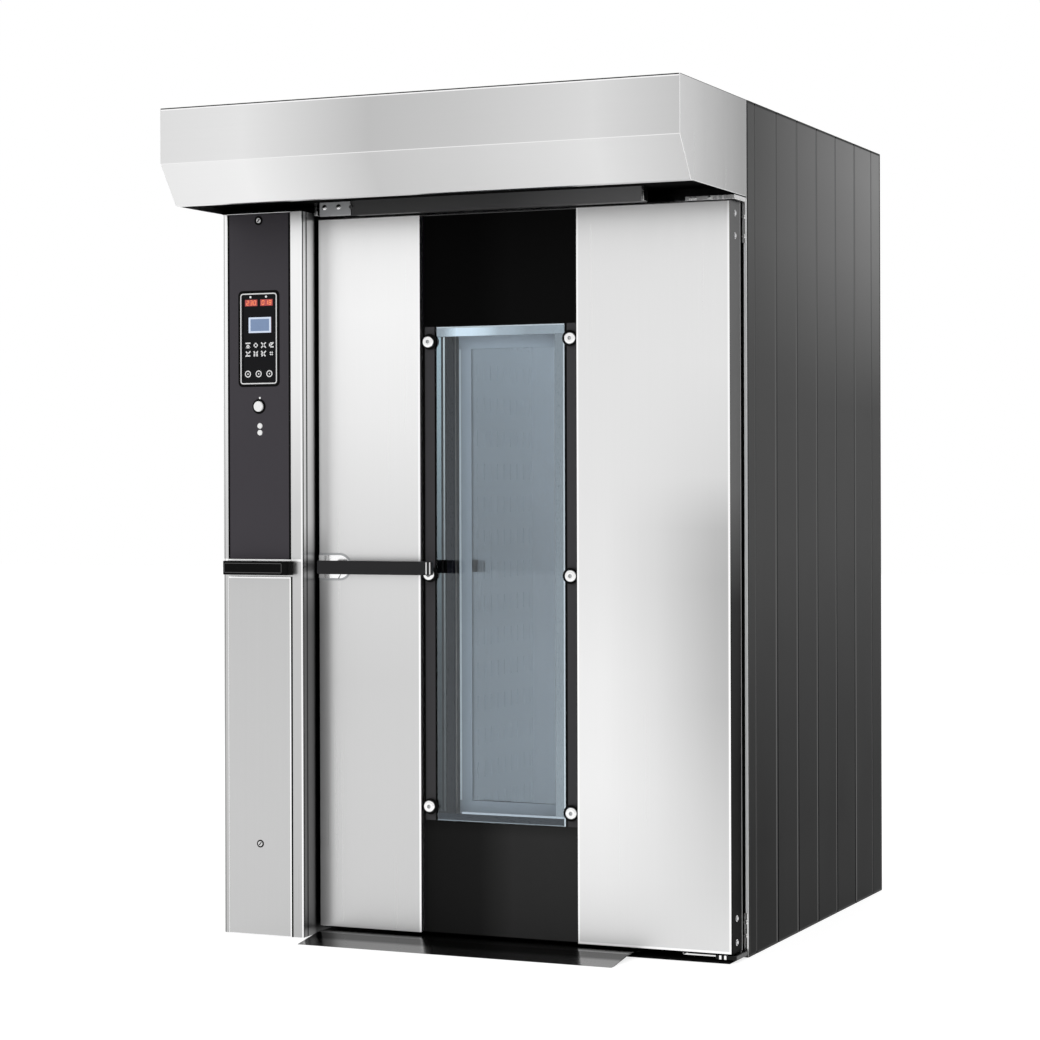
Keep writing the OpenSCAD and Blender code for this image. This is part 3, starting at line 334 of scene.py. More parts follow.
top_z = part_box("hood_front")[1].z
left_low, left_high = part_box("door_left_skin")
right_low, right_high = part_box("door_right_skin")
column_low, column_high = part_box("column_housing")
service_low, service_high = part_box("service_panel")
# The second tone is the paler steel of the folds: a painted highlight.
steel, fold_highlight = (0.60, 0.605, 0.61), (0.96, 0.965, 0.97)
trim_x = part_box("front_frame")[1].x - 0.0075
# Right of this place the frame is pale and matt: a painted highlight along its edge.
pale_trim_highlight = ("X", [(trim_x - 0.0004, 1.0), (trim_x, 0.0)])
fascia_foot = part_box("control_fascia")[0].z
finishes = {
    "stainless": stainless("stainless_upright_grain", steel),
    # The hood's tone along x is painted reflection; just under its top edge runs a line of painted
    # highlight, and along the edge a line of painted shade.
    "hood": ramped("stainless_level_grain", "X", [
        (-0.76, 0.76), (-0.50, 0.81), (-0.12, 0.54), (0.15, 0.60), (0.52, 0.73), (0.76, 0.58)],
        0.34, stretch=level_grain, rims=[("Z", [top_z - 0.0055], 0.0015)],
        grooves=[("Z", [top_z - 0.0015], 0.0022)]),
    # The hood's ends are lighter towards the front, painted light, with a line of painted shade along
    # the top.
    "hood_ends": ramped("stainless_hood_end", "Y", [(-0.52, 0.97), (-0.25, 0.68), (0, 0.42)],
                        grooves=[("Z", [top_z - 0.001], 0.0012)]),
    # The door skins' ramps along z are painted reflection, the left skin lighter towards the top; their
    # edge lines are painted highlights, and the right skin has a painted shadow on its right half at mid
    # height.
    "left_skin": ramped("stainless_left_skin", "Z", [
        (0.3, 0.58), (0.72, 0.60), (1.05, 0.68), (1.45, 0.85), (1.75, 0.94)],
        rims=[("X", [left_high.x - 0.002], 0.0035),
              ("Z", [left_low.z + 0.003, left_high.z - 0.003], 0.003)]),
    "right_skin": ramped("stainless_right_skin", "Z", [
        (0.05, 0.70), (0.2, 0.77), (0.45, 0.82), (0.75, 0.82), (1.02, 0.785), (1.25, 0.78),
        (1.9, 0.79)], cloud=0.03, dim=(("X", [(0.38, 0), (0.53, 0.35), (0.70, 1), (0.745, 1.1)]), ("Z", [
            (0.05, 0), (0.187, 0.15), (0.46, 0.29), (0.70, 0.38), (1.01, 0.39), (1.15, 0.34),
            (1.29, 0.11), (1.42, 0.06), (1.6, 0)])),
        rims=[("X", [right_low.x + 0.002, right_high.x - 0.002], 0.0035),
              ("Z", [right_low.z + 0.003], 0.003)]),
    # The column's ramps are painted light, lighter towards the top. Its right side face is darker low
    # down and towards the back, painted shade; its edge lines are painted highlights and its dark lines
    # painted shade.
    "column": ramped("stainless_column", "Z", [
        (0.1, 0.47), (0.9, 0.53), (1.2, 0.62), (1.55, 0.86), (1.9, 0.95)],
        rims=[("X", [column_low.x + 0.002, column_high.x - 0.0035], 0.0016),
              ("Z", [fascia_foot - 0.003], 0.0028)],
        grooves=[("X", [column_low.x + 0.010], 0.0008)]),
    "column_side": ramped("stainless_column_side", "Z", [
        (0.1, 0.22), (0.9, 0.18), (1.02, 0.30), (1.16, 0.85), (1.9, 0.95)], cross=("Y", [
            (column_low.y, 1), (column_low.y + 0.05, 0.8), (column_low.y + 0.064, 0.6),
            (column_low.y + 0.078, 0.05), (0, 0.03)]),
        grooves=[("Y", [column_low.y + 0.0045], 0.0028), ("Y", [column_low.y + 0.026], 0.0035)]),
    "column_outside": ramped("stainless_column_outside", "Z", [
        (0.1, 0.45), (0.9, 0.50), (1.55, 0.68), (1.9, 0.70)], 0.32, 0.03),
    # Near black below 22 mm, painted shade at the floor, with lines of painted highlight on the
    # brackets' faces.
    "bracket": stainless("pressed_bracket_steel", 0.7, 0.25, 0.03, stops=[
        (0, 0.02), (0.022, 0.02), (0.026, 1), (2.3, 1)],
        rims=[("X", [0.690, 0.708, 0.722], 0.0028)]),
    "hood_top": stainless("stainless_hood_top", (0.56, 0.565, 0.57), 0.34, stretch=level_grain),
    # Lines of painted highlight along the service panel's top and right edges.
    "service": stainless("stainless_service_panel", 0.53, 0.34, 0.02,
                         rims=[("Z", [service_high.z - 0.0025], 0.0025),
                               ("X", [service_high.x - 0.002], 0.002)]),
    # Near black at the sill and under the hood, painted shade; lighter towards the hinge side, painted
    # light; a line of painted shade in the gap beside the door; and a pale matt strip at its edge, a
    # painted highlight.
    "bright_frame": stainless("bright_frame_steel", (0.82, 0.83, 0.84), 0.22, stops=[
        (0, 0.006), (0.022, 0.006), (0.024, 1), (2.034, 1), (2.038, 0.035), (2.3, 0.03)],
        cross=("X", [(-0.7, 0.62), (0.5, 0.62), (0.6, 1), (0.8, 1)]),
        grooves=[("X", [right_high.x + 0.0018], 0.0040)], bare=pale_trim_highlight),
    # The folds' paler steel is a painted highlight.
    "frame_fold": stainless("highlit_frame_fold", fold_highlight, 0.14, 0.01, bare=pale_trim_highlight),
    "fold": stainless("highlit_fold", fold_highlight, 0.14, 0.01),
    "hood_fold": stainless("highlit_hood_fold", 0.80, 0.3, 0.01, stretch=level_grain),
    # Near black where it runs under the door: painted shade.
    "ramp": ramped("ramp_steel_shaded", "Y", [
        (-0.29, 0.34), (-0.225, 0.30), (-0.205, 0.03), (-0.12, 0.01)],
        0.20, 0.08, stretch=level_grain),
    # The chamber and its air wall are darker than the outer steel: painted shade inside the closed
    # chamber.
    "chamber": stainless("chamber_steel_shaded", 0.42, 0.36, 0.1),
    "air_wall": stainless("air_wall_steel", (0.34, 0.34, 0.345), 0.3, 0.1),
    "galvanised": stainless("galvanised_sheet", (0.50, 0.51, 0.52), 0.45, 0.12, stretch=(60, 60, 60)),
}
print(len(finishes), "finishes of bare steel")

# %% Coated steel and moulded plastic
def coated(name, colour, roughness, peel=0.00006, drift=0.12, coat=0.0, gloss=0.5, ior=1.5,
           stops=None, seam_highlights=(), edge_shade_lines=(), lit_top_rear=None, cross=None):
    """Paint or plastic: a fine pebbled skin and a slow drift of tone. Stops (along z) and cross are
    ramps of painted light. Along the seams the tone is a painted highlight on the planks' rolled
    edges, the dark lines at a sheet's edges are painted shade, and a pair of ramps (along z, along y),
    whose product is added, paints light on the top rear."""
    recipe = Recipe(name)
    pebble = recipe.noise(700, 2.0)
    wide = recipe.noise((2.1, 2.1, 1.4))
    base = recipe.between(wide, *shades(colour, 1 - drift, 1 + drift))
    # Ramps of painted light along z, with a pair of ramps adding painted light on the top rear.
    if lit_top_rear:
        base = base * (sheen(recipe, "Z", stops) + sheen(recipe, "Z", lit_top_rear[0]) * sheen(
            recipe, "Y", lit_top_rear[1]))
    elif stops:
        base = base * sheen(recipe, "Z", stops)
    if cross:
        base = base * sheen(recipe, *cross)
    # Painted highlights along the seams.
    if seam_highlights:
        base = recipe.between(bands(recipe, *seam_highlights), base, 0.10)
    # Near-black lines of painted shade along the sheet's edges.
    edge = sum((bands(recipe, axis, [place], half) for axis, place, half in edge_shade_lines), 0)
    if edge_shade_lines:
        base = recipe.between(edge, base, 0.002)
    return recipe.surface({
        "Metallic": edge, "Base Color": base, "IOR": ior, "Roughness": roughness + (wide - 0.5) * 0.12,
        "Coat Weight": coat, "Coat Roughness": 0.08, "Specular IOR Level": gloss,
        "Normal": recipe.bump(pebble, peel, 0.6)})


clad_low, clad_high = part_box("right_cladding")
# Powder coat with painted light: darker towards the bottom, and thin near-black lines of painted shade
# at the foot and the top.
powder_and_light = {"drift": 0.05, "gloss": 0.1, "ior": 1.3, "stops": [
    (clad_low.z, 0.002), (clad_low.z + 0.006, 0.002), (clad_low.z + 0.008, 0.004), (0.3, 0.006),
    (0.6, 0.017), (0.8, 0.029), (1.1, 0.048), (1.6, 0.059), (1.95, 0.085),
    (clad_high.z - 0.009, 0.080), (clad_high.z - 0.007, 0.002), (clad_high.z, 0.002)]}
finishes.update({
    "dark_cladding": coated("cladding_powder_coat", 1, 0.5, **powder_and_light),
    # Lighter seams are painted highlights on the planks' rolled edges, near-black lines along the edges
    # painted shade, and the top rear is lightened, a painted light.
    "side_cladding": coated(
        "side_cladding_powder_coat", 1, 0.5, **powder_and_light,
        seam_highlights=("Y", [0.070, 0.2445, 0.4346, 0.624, 0.8136, 1.018, 1.192], 0.0042),
        edge_shade_lines=[("Y", clad_low.y + 0.002, 0.0075), ("Y", clad_high.y - 0.001, 0.012),
              ("Z", clad_low.z + 0.001, 0.005), ("Z", clad_high.z - 0.001, 0.005)],
        lit_top_rear=([(1.5, 0), (2.2, 1)], [(0.1, 0), (1.25, 0.135)])),
    # Lighter low down and towards the right: painted reflection.
    "centre_panel": coated("centre_panel_paint", 0.033, 0.5, gloss=0.05, ior=1.3, stops=[
        (0, 1), (0.30, 1), (0.40, 0.12), (2.1, 0.12)], cross=("X", [
            (-0.2, 0.30), (0, 0.42), (0.1, 0.95), (0.3, 1)])),
    # Lighter towards the top: painted light.
    "door_edge": coated("door_edge_plastic", 0.13, 0.45, gloss=0.05, ior=1.3, stops=[
        (0, 0), (0.5, 0), (0.95, 0.15), (1.25, 1), (2.0, 1)]),
    # Dark grey, lighter towards its right end: the ramp along x is painted light.
    "deflector": coated("dark_deflector_steel", (0.15, 0.15, 0.152), 0.35, gloss=0.3, cross=("X", [
        (-0.48, 0.36), (0.1, 0.42), (0.35, 0.85), (0.49, 1), (0.52, 1.1)])),
    "charcoal": coated("charcoal_edge_paint", (0.040, 0.039, 0.042), 0.4, gloss=0.15),
    "grey_steel": coated("dark_grey_coat", (0.030, 0.031, 0.033), 0.38, gloss=0.3),
    "fascia": coated("anthracite_coat", (0.046, 0.042, 0.049), 0.42, 0.00004, gloss=0.15),
    "keypad": coated("keypad_foil", (0.006, 0.006, 0.007), 0.3, 0.00001, gloss=0.08),
    "keypad_rim": coated("keypad_rim_plastic", 0.80, 0.35, 0.00002),
    "pale_keys": coated("pale_print", 0.80, 0.4, 0.00001),
    "white_plastic": coated("white_gloss_plastic", 0.90, 0.18, 0.00001, coat=0.4),
    "black_plastic": coated("black_moulding", 0.006, 0.3, 0.00005, gloss=0.08, ior=1.2),
    "handle": coated("handle_coat", (0.014, 0.014, 0.015), 0.34, 0.00004, gloss=0.15),
    # A thin grey line round the band's face.
    "band_line": coated("grey_band_line", 0.10, 0.5, 0.00003, gloss=0.2),
    # Near black as painted shade: under the hood, on the base frame and as the shadow under the door.
    "shade_black": coated("black_steel_for_shade", 0.008, 0.8, 0.0001, gloss=0.02, ior=1.05),
    # The reveal painted near black: the shade and dark reflections in the window's recess.
    "reveal_shade": coated("window_reveal_shade", (0.008, 0.008, 0.012), 0.3, 0.00002, gloss=0.08, ior=1.2),
    "motor_paint": coated("motor_enamel", (0.10, 0.16, 0.22), 0.4, 0.00008, coat=0.3),
    "silicone": coated("red_brown_silicone", (0.16, 0.05, 0.035), 0.6),
    "heater": coated("oxidised_tube", (0.09, 0.085, 0.08), 0.55),
})
print(len(finishes), "finishes")

# %% Bolts, bronze and wool
def metal(name, colour, roughness, scale=300):
    recipe = Recipe(name)
    speck = recipe.noise(scale)
    return recipe.surface({
        "Base Color": recipe.between(speck, *shades(colour, 0.86, 1)), "Metallic": 1,
        "Roughness": roughness + (speck - 0.5) * 0.1, "Normal": recipe.bump(speck, 0.00004, 0.5)})


def wool(name):
    """Mineral wool: pressed fibres, yellow-brown, never shiny."""
    recipe = Recipe(name)
    fibre = recipe.noise((160, 160, 900), 6.0, 0.7)
    base = recipe.between(fibre, (0.34, 0.29, 0.14), (0.66, 0.60, 0.38))
    return recipe.surface({"Base Color": base, "Roughness": 0.95, "Normal": recipe.bump(fibre, 0.002)})


finishes.update({
    "bolt_steel": metal("zinc_plated_steel", (0.72, 0.72, 0.73), 0.25),
    "button_cap": metal("polished_cap", 0.92, 0.18, 120),
    # The blue bands behind the outer pane stand in for the reveal seen through the glass: the top band's
    # ramp along x is painted light, and the other tones are painted light, shade and reflection.
    "pale_blue": stainless("pale_blue_top_band", (0.70, 0.86, 1), 0.04, 0.02, "X", [
        (-0.13, 0.36), (-0.105, 0.42), (-0.065, 0.92), (-0.02, 0.92), (0.02, 0.80), (0.065, 0.52),
        (0.107, 0.48), (0.15, 0.38), (0.25, 0.40)]),
    # The pale rim of the inner pane stands in for the window's light near its edge, and is lighter
    # towards the top: painted light.
    "field_film": coated("pane_rim_painted_light", (0.27, 0.335, 0.40), 0.6, gloss=0.0, drift=0.04, stops=[
        (0.35, 0.98), (1.1, 0.98), (1.45, 1.1), (1.62, 1.25), (1.7, 1.5)]),
    "field_line": coated("ground_pane_edge", (0.62, 0.74, 0.82), 0.6, gloss=0.0, drift=0.04),
    "blue_line": metal("light_blue_line", (0.52, 0.60, 0.66), 0.03),
    "dim_blue_line": metal("dim_blue_line", (0.36, 0.43, 0.49), 0.03),
    "slate_blue": metal("slate_blue_border", (0.21, 0.255, 0.29), 0.03),
    "deep_blue": metal("deep_blue_border", (0.008, 0.012, 0.018), 0.03),
    # The side bands are lighter towards the top: painted light.
    "side_spacer": stainless("pale_blue_side_band", (0.36, 0.50, 0.57), 0.04, 0.02,
                             "Z", [(0.42, 0.04), (0.80, 0.10), (1.05, 0.25), (1.35, 0.55), (1.7, 0.9)]),
    "side_bead": stainless("light_side_band", (0.62, 0.74, 0.80), 0.04, 0.02,
                           "Z", [(0.42, 0.06), (0.80, 0.14), (1.05, 0.26), (1.35, 0.5), (1.7, 0.8)]),
    "bronze": metal("bronze_bush_metal", (0.62, 0.43, 0.20), 0.35),
    "wool": wool("mineral_wool"),
})
print(len(finishes), "finishes")

# %% [markdown]
# ## Glass and lit windows
# Oven glass is tinted by a heat-reflecting film, so it reads blue-grey and a little milky. Real
# refraction would leave the closed chamber black and the picture noisy. A mirror film of colour
# with a low alpha keeps the view inside and exports as it is.

# %% Glass
def pane_finish(name, film, alpha, roughness=0.0, level=None, cross=None):
    """A mirror film that lets most of the light through; a ray meets it on both faces of a pane."""
    recipe = Recipe(name)
    cloud = recipe.noise((2.4, 2.4, 0.9), 2.0)
    strength = cloud * (alpha * 0.4) + alpha * 0.8
    # Level and cross ramp the film's strength along z and x: a painted reflection, stronger towards the
    # top and the right on the inner pane.
    if level:
        strength = strength * sheen(recipe, "Z", level) * sheen(recipe, "X", cross)
    finish = recipe.surface({
        "Base Color": film, "Metallic": 1, "Roughness": roughness, "Alpha": strength})
    finish.surface_render_method = "BLENDED"
    return finish


finishes["outer_glass"] = pane_finish("outer_pane_glass", (0.86, 0.94, 1), 0.033)
finishes["inner_glass"] = pane_finish("inner_pane_glass", (0.60, 0.74, 0.87), 0.25, 0.01, [
    (0.35, 0.54), (1.1, 0.54), (1.45, 0.72), (1.7, 0.95)], [(-0.1, 0.93), (0.1, 1), (0.25, 1.12)])
finishes["ground_edge"] = metal("ground_glass_edge", (0.86, 0.95, 1), 0.35, 120)
print("glass ready")

# %% Lit windows
def lit_window(name, colour, glow, strength, rows=0.0):
    """A lit window; rows is the spacing of its faint lines, in metres."""
    recipe = Recipe(name)
    cloud = recipe.noise(40, 2.0)
    emission = recipe.between(cloud, *shades(glow, 0.85, 1))
    if rows:
        place = recipe.node("TexCoord", output="Object")
        wave = recipe.node("TexWave", {"Vector": place, "Scale": 0.31 / rows, "Distortion": 0.0},
                           bands_direction="Z")
        emission = emission * (0.9 + wave * 0.1)
    return recipe.surface({"Base Color": colour, "Emission Color": emission,
                           "Emission Strength": strength, "Roughness": 0.12, "Coat Weight": 0.6})


finishes.update({
    "red_window": lit_window("red_display_window", (0.14, 0.012, 0.012), (0.46, 0.045, 0.04), 0.7),
    "red_digit": lit_window("red_digit_glow", (0.5, 0.1, 0.02), (1, 0.26, 0.08), 0.95),
    "blue_window": lit_window(
        "blue_display_window", (0.07, 0.105, 0.18), (0.16, 0.24, 0.40), 0.68, 0.004),
    "blue_border": lit_window("blue_display_border", (0.4, 0.46, 0.56), (0.55, 0.62, 0.74), 0.55),
})
print(len(finishes), "finishes")

# %% [markdown]
# ## Finishes on the CAD nodes
# The record names a material slot for every node, and most nodes take the finish of their slot. A
# few need another: the hood is brushed along its length, and the keypad's face is darker than its
# printed keys. Each node keeps its one slot and gets the new material there.

# %% Give every node its finish
wearers = {
    # The handle plate takes the bright fold steel: a painted highlight.
    "hood": "hood_front", "hood_top": "hood_top", "hood_ends": "hood_ends", "fold": "handle_plate",
    "left_skin": "door_left_skin", "right_skin": "door_right_skin", "door_edge": "door_edges",
    "centre_panel": "door_centre_panel", "handle": "door_handle", "column": "column_housing",
    "service": "service_panel", "bracket": "hinge_brackets", "deflector": "steam_deflector",
    "ramp": "entry_ramp", "side_cladding": "right_cladding left_cladding",
    "shade_black": "hood_filters base_frame", "air_wall": "air_diffuser", "reveal_shade": "window_reveal",
    "chamber": "chamber_walls chamber_ceiling floor_plate", "red_window": "displays",
    "keypad": "membrane_keys key_left key_middle key_right",
    # The locks take the pale rim plastic in place of their chrome: a painted highlight.
    "keypad_rim": "fascia_lock service_lock",
    "outer_glass": "window_outer_glass", "inner_glass": "window_inner_glass",
}
own_finish = {node: finish for finish, names in wearers.items() for node in names.split()}


def finish_name(node):
    return own_finish.get(node, slot_of[node])


def dress(thing, finish):
    thing.data.materials.clear()
    thing.data.materials.append(finishes[finish])


for name, node in nodes.items():
    dress(node, finish_name(name))
print("dressed", len(nodes), "nodes")

# %% [markdown]
# ## Folds and edges
# CAD corners are perfectly sharp, and a sharp corner never catches light. Real sheet has a rolled
# fold a little wider than its thickness and a deburred cut edge, which show as the fine bright
# lines round each panel. On the brightest panels the rolled faces also take a paler steel than the
# sheet, a painted highlight. A bevel of one width would eat thin sheets whole, so each edge gets a
# width that its narrower neighbouring face can spare.

# %% Roll the folds of a node
own_fold = {"hood_front": "hood_fold", "front_frame": "frame_fold"}
# The folds of these nodes take a paler steel: a painted highlight.
bright_folds = {"hood_front", "hood_ends", "column_housing", "service_panel", "door_left_skin",
                "door_right_skin", "handle_plate", "front_frame"}
# The column's two side faces take shaded and lit copies of its steel: painted light.
side_finish = {"column_housing": {1: "column_side", -1: "column_outside"}}


def roll_folds(node, fold):
    """A copy of a CAD node with rounded folds and deburred edges, in the node's place."""
    mesh = nodes[node].data.copy()
    work = bmesh.new()
    work.from_mesh(mesh)
    bmesh.ops.remove_doubles(work, verts=work.verts, dist=1e-6)
    bmesh.ops.dissolve_limit(work, angle_limit=radians(0.4), verts=work.verts, edges=work.edges)
    weight = work.edges.layers.float.new("bevel_weight_edge")
    for edge in work.edges:
        if len(edge.link_faces) == 2 and edge.calc_face_angle(0) > radians(24):
            room = min(face.calc_area() for face in edge.link_faces) / max(edge.calc_length(), 1e-6)
            edge[weight] = min(1.0, 0.4 * room / fold)
    work.to_mesh(mesh)
    work.free()
    piece = new_object(node + "_rolled", mesh)
    bevel = piece.modifiers.new("folds", "BEVEL")
    bevel.limit_method, bevel.width, bevel.segments = "WEIGHT", fold, 3
    bevel.use_clamp_overlap = True
    mesh.shade_smooth()
    mesh.set_sharp_from_angle(angle=radians(40))
    piece.modifiers.new("even_shading", "WEIGHTED_NORMAL").keep_sharp = True
    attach(piece, body_of[node])
    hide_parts(node)
    dress(piece, finish_name(node))
    if node in bright_folds:
        mesh.materials.append(finishes[own_fold.get(node, "fold")])
        bevel.material = 1
    for side, name in side_finish.get(node, {}).items():
        mesh.materials.append(finishes[name])
        outermost = max(side * v.co.x for v in mesh.vertices)
        for face in mesh.polygons:
            if face.normal.x * side > 0.99 and face.center.x * side > outermost - 0.001:
                face.material_index = len(mesh.materials) - 1


rolled = {
    "hood_front": 0.004, "hood_top": 0.002, "hood_ends": 0.002, "column_housing": 0.0035,
    "control_fascia": 0.0012, "service_panel": 0.0015, "column_band": 0.002,
    "door_left_skin": 0.0045, "door_right_skin": 0.0045, "door_centre_panel": 0.001,
    "door_edges": 0.001, "door_inner_skin": 0.001, "handle_plate": 0.0012, "door_handle": 0.0022,
    "steam_deflector": 0.002, "hinge_brackets": 0.0015, "entry_ramp": 0.0015, "front_frame": 0.003,
    "right_cladding": 0.0015, "left_cladding": 0.0015, "rear_cladding": 0.0015,
    "roof_panel": 0.001, "fan_motor": 0.002, "rack_gearmotor": 0.002,
}
for name, fold in rolled.items():
    roll_folds(name, fold)
print("rolled the folds of", len(rolled), "nodes")

# %% [markdown]
# ## Mesh helpers
# The smaller pieces are flat prints, bars and turned caps. They could be primitives that are
# scaled into place, but then every edge stays sharp. A few helpers make them from what defines
# them: an outline that is pushed out, a profile that is turned, and a stroke with a width.

# %% Outlines, turned profiles and strokes
def make_piece(name, work, finish, body="cabinet", bevel=0.0):
    """A new piece from the mesh work, on a body and with a material slot."""
    mesh = bpy.data.meshes.new(name)
    bmesh.ops.recalc_face_normals(work, faces=work.faces)
    work.to_mesh(mesh)
    work.free()
    piece = new_object(name, mesh)
    mesh.shade_smooth()
    mesh.set_sharp_from_angle(angle=radians(35))
    if bevel:
        rounding = piece.modifiers.new("edges", "BEVEL")
        rounding.width, rounding.segments, rounding.angle_limit = bevel, 2, radians(40)
    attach(piece, body)
    dress(piece, finish)
    return piece


def push_outline(work, points, push):
    """A closed flat outline, pushed along a vector."""
    base = [work.verts.new(p) for p in points]
    face = work.faces.new(base)
    moved = bmesh.ops.extrude_face_region(work, geom=[face])["geom"]
    bmesh.ops.translate(work, vec=push, verts=[g for g in moved if isinstance(g, bmesh.types.BMVert)])


def rectangle(x0, x1, z0, z1, y):
    """The corners of an upright rectangle on the plane y."""
    return (x0, y, z0), (x1, y, z0), (x1, y, z1), (x0, y, z1)


def plate(work, x0, x1, z0, z1, y, depth):
    """An upright rectangle, pushed towards the front."""
    push_outline(work, rectangle(x0, x1, z0, z1, y), (0, -depth, 0))


def skin(work, loops):
    """The faces between closed loops that have as many points each."""
    return [work.faces.new((a[k], a[(k + 1) % len(a)], b[(k + 1) % len(a)], b[k]))
            for a, b in zip(loops, loops[1:]) for k in range(len(a))]


def turn_profile(work, centre, profile, steps=32, axis=(0, -1, 0)):
    """A profile of (radius, height) pairs, turned about an axis; that points to the front by default."""
    turn = Vector((0, 0, 1)).rotation_difference(Vector(axis))
    place = Matrix.Translation(centre) @ turn.to_matrix().to_4x4()
    turns = [2 * pi * k / steps for k in range(steps)]
    rings = [[work.verts.new(place @ Vector((radius * cos(a), radius * sin(a), height)))
              for a in (turns if radius else [0])] for radius, height in profile]
    for low, high in zip(rings, rings[1:]):
        for k in range(steps):
            loop = dict.fromkeys((low[k % len(low)], low[(k + 1) % len(low)],
                                  high[(k + 1) % len(high)], high[k % len(high)]))
            if len(loop) > 2:
                work.faces.new(list(loop))


def stroke(work, start, end, width, y, depth):
    """A flat bar from start to end, both (x, z), on the plane y and depth thick towards the front."""
    a, b = Vector(start), Vector(end)
    run = (b - a).normalized() * width / 2
    across = Vector((-run.y, run.x))
    corners = [a - run - across, b + run - across, b + run + across, a - run + across]
    push_outline(work, [(c.x, y, c.y) for c in corners], (0, -depth, 0))


def bolt(work, place, axis, size, height):
    """A washer with a six-sided head."""
    rim, crown = size * 0.2, height + size * 0.18
    turn_profile(work, place, [(0, 0), (size * 1.6, 0), (size * 1.6, rim), (size * 1.1, size * 0.26)],
                 24, axis)
    turn_profile(work, place, [(size, rim), (size, height), (size * 0.85, crown), (0, crown)], 6, axis)


def corners(node):
    """A node's points, in the shared frame."""
    return [nodes[node].matrix_world @ v.co for v in nodes[node].data.vertices]


def span(points, axis):
    """The least and the greatest place of the points along an axis."""
    return min(p[axis] for p in points), max(p[axis] for p in points)


print("helpers ready")

# %% [markdown]
# ## The window
# The outer pane is a loose sheet of tempered glass held by six round buttons. Its edges are
# ground, so they glow pale blue against the dark strip. CAD has it as a plain slab; here its rim
# is cut back at an angle and the ground faces take a cloudier finish of their own.

# %% Outer pane with ground edges
def ground_pane(node, name, chamfer):
    """A pane whose front edges are cut back, with the ground faces in a finish of their own."""
    low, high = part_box(node)
    work = bmesh.new()
    rings = [[work.verts.new(corner) for corner in rectangle(
        low.x + inset, high.x - inset, low.z + inset, high.z - inset, y)]
        for inset, y in ((0, high.y), (0, low.y + chamfer / 2), (chamfer, low.y))]
    work.faces.new(rings[0])
    work.faces.new(rings[2])
    for face in skin(work, rings):
        face.material_index = 1
    piece = make_piece(name, work, finish_name(node), "door")
    piece.data.materials.append(finishes["ground_edge"])
    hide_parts(node)


ground_pane("window_outer_glass", "outer_pane", 0.0055)
ground_pane("window_inner_glass", "inner_pane", 0.002)
low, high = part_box("window_outer_glass")
print("outer pane", [round(v, 3) for v in high - low])

# %% Border between the panes
def border_strip(name, x0, x1, z0, z1, finish, back):
    """A strip a third of a millimetre thick, with its back on the plane given."""
    work = bmesh.new()
    plate(work, x0, x1, z0, z1, back, 0.0003)
    make_piece(name, work, finish, "door")


left, right, foot, top = low.x + 0.001, high.x - 0.001, low.z + 0.001, high.z - 0.001
field_left, field_foot, field_top = left + 0.073, foot + 0.0265, top - 0.0275
side_top = field_top - 0.001
# These bands stand in for the window's reveal seen through the outer pane: their tones are painted
# light, shade and reflection.
for name, *place, finish in (
        ("top_edge", left, right, top - 0.0035, top, "blue_line"),
        ("top", left, right, field_top + 0.0005, top - 0.0038, "pale_blue"),
        ("right", right - 0.029, right - 0.0045, field_foot, field_top, "slate_blue"),
        ("right_edge", right - 0.0042, right, foot, field_top, "blue_line"),
        ("foot_edge", left, right - 0.005, foot, foot + 0.0022, "slate_blue"),
        ("foot", left, right - 0.005, foot + 0.0025, field_foot - 0.0062, "deep_blue"),
        ("foot_line", field_left, right - 0.005, field_foot - 0.006, field_foot - 0.0003,
         "dim_blue_line"),
        ("left", left, left + 0.013, field_foot, side_top, "side_spacer"),
        ("left_seal", left + 0.0135, left + 0.019, field_foot, side_top, "black_plastic"),
        ("left_bead", left + 0.0195, left + 0.0245, field_foot, side_top, "side_bead")):
    border_strip("border_" + name, *place, finish, high.y + 0.0004)
print("outer pane border in place")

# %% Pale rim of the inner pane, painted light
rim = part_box("window_inner_glass")[0].y - 0.0004
rim_left, rim_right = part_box("window_reveal")[0].x + 0.016, right - 0.030
rim_foot, rim_top = 0.3515, 1.686
rim_width, gap = 0.037, 0.0003
sides = rim_foot + rim_width + gap, rim_top - rim_width - gap
for name, *place, finish in (
        ("foot", rim_left, rim_right, rim_foot, rim_foot + rim_width, "field_film"),
        ("top", rim_left, rim_right, rim_top - rim_width, rim_top, "field_film"),
        ("line", rim_left, rim_left + 0.006, *sides, "field_line"),
        ("left", rim_left + 0.0063, rim_left + 0.038, *sides, "field_film")):
    border_strip("inner_rim_" + name, *place, finish, rim)
print("tinted edge from x", round(rim_left, 3), "to", round(rim_right, 3))

# %% Charcoal strips beside the pane
centre_low, centre_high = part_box("door_centre_panel")
work = bmesh.new()
gap = 0.006
for x0, x1 in ((centre_low.x + gap, low.x - gap), (high.x + gap, centre_high.x - gap)):
    plate(work, x0, x1, low.z, high.z, centre_low.y - 0.0008, -0.0007)
make_piece("window_side_strips", work, "charcoal", "door", bevel=0.0002)
print("strips at x", round(x0, 3), round(x1, 3))

# %% [markdown]
# ## Glass buttons
# Each button is a turned cap of bright metal on a black washer, which grips the pane by its edge.
# The photograph shows a white disc, a dark ring round it and a small grey dimple. The CAD node
# holds plain revolved shapes, so the caps are turned again, with the dimple and their own washer.

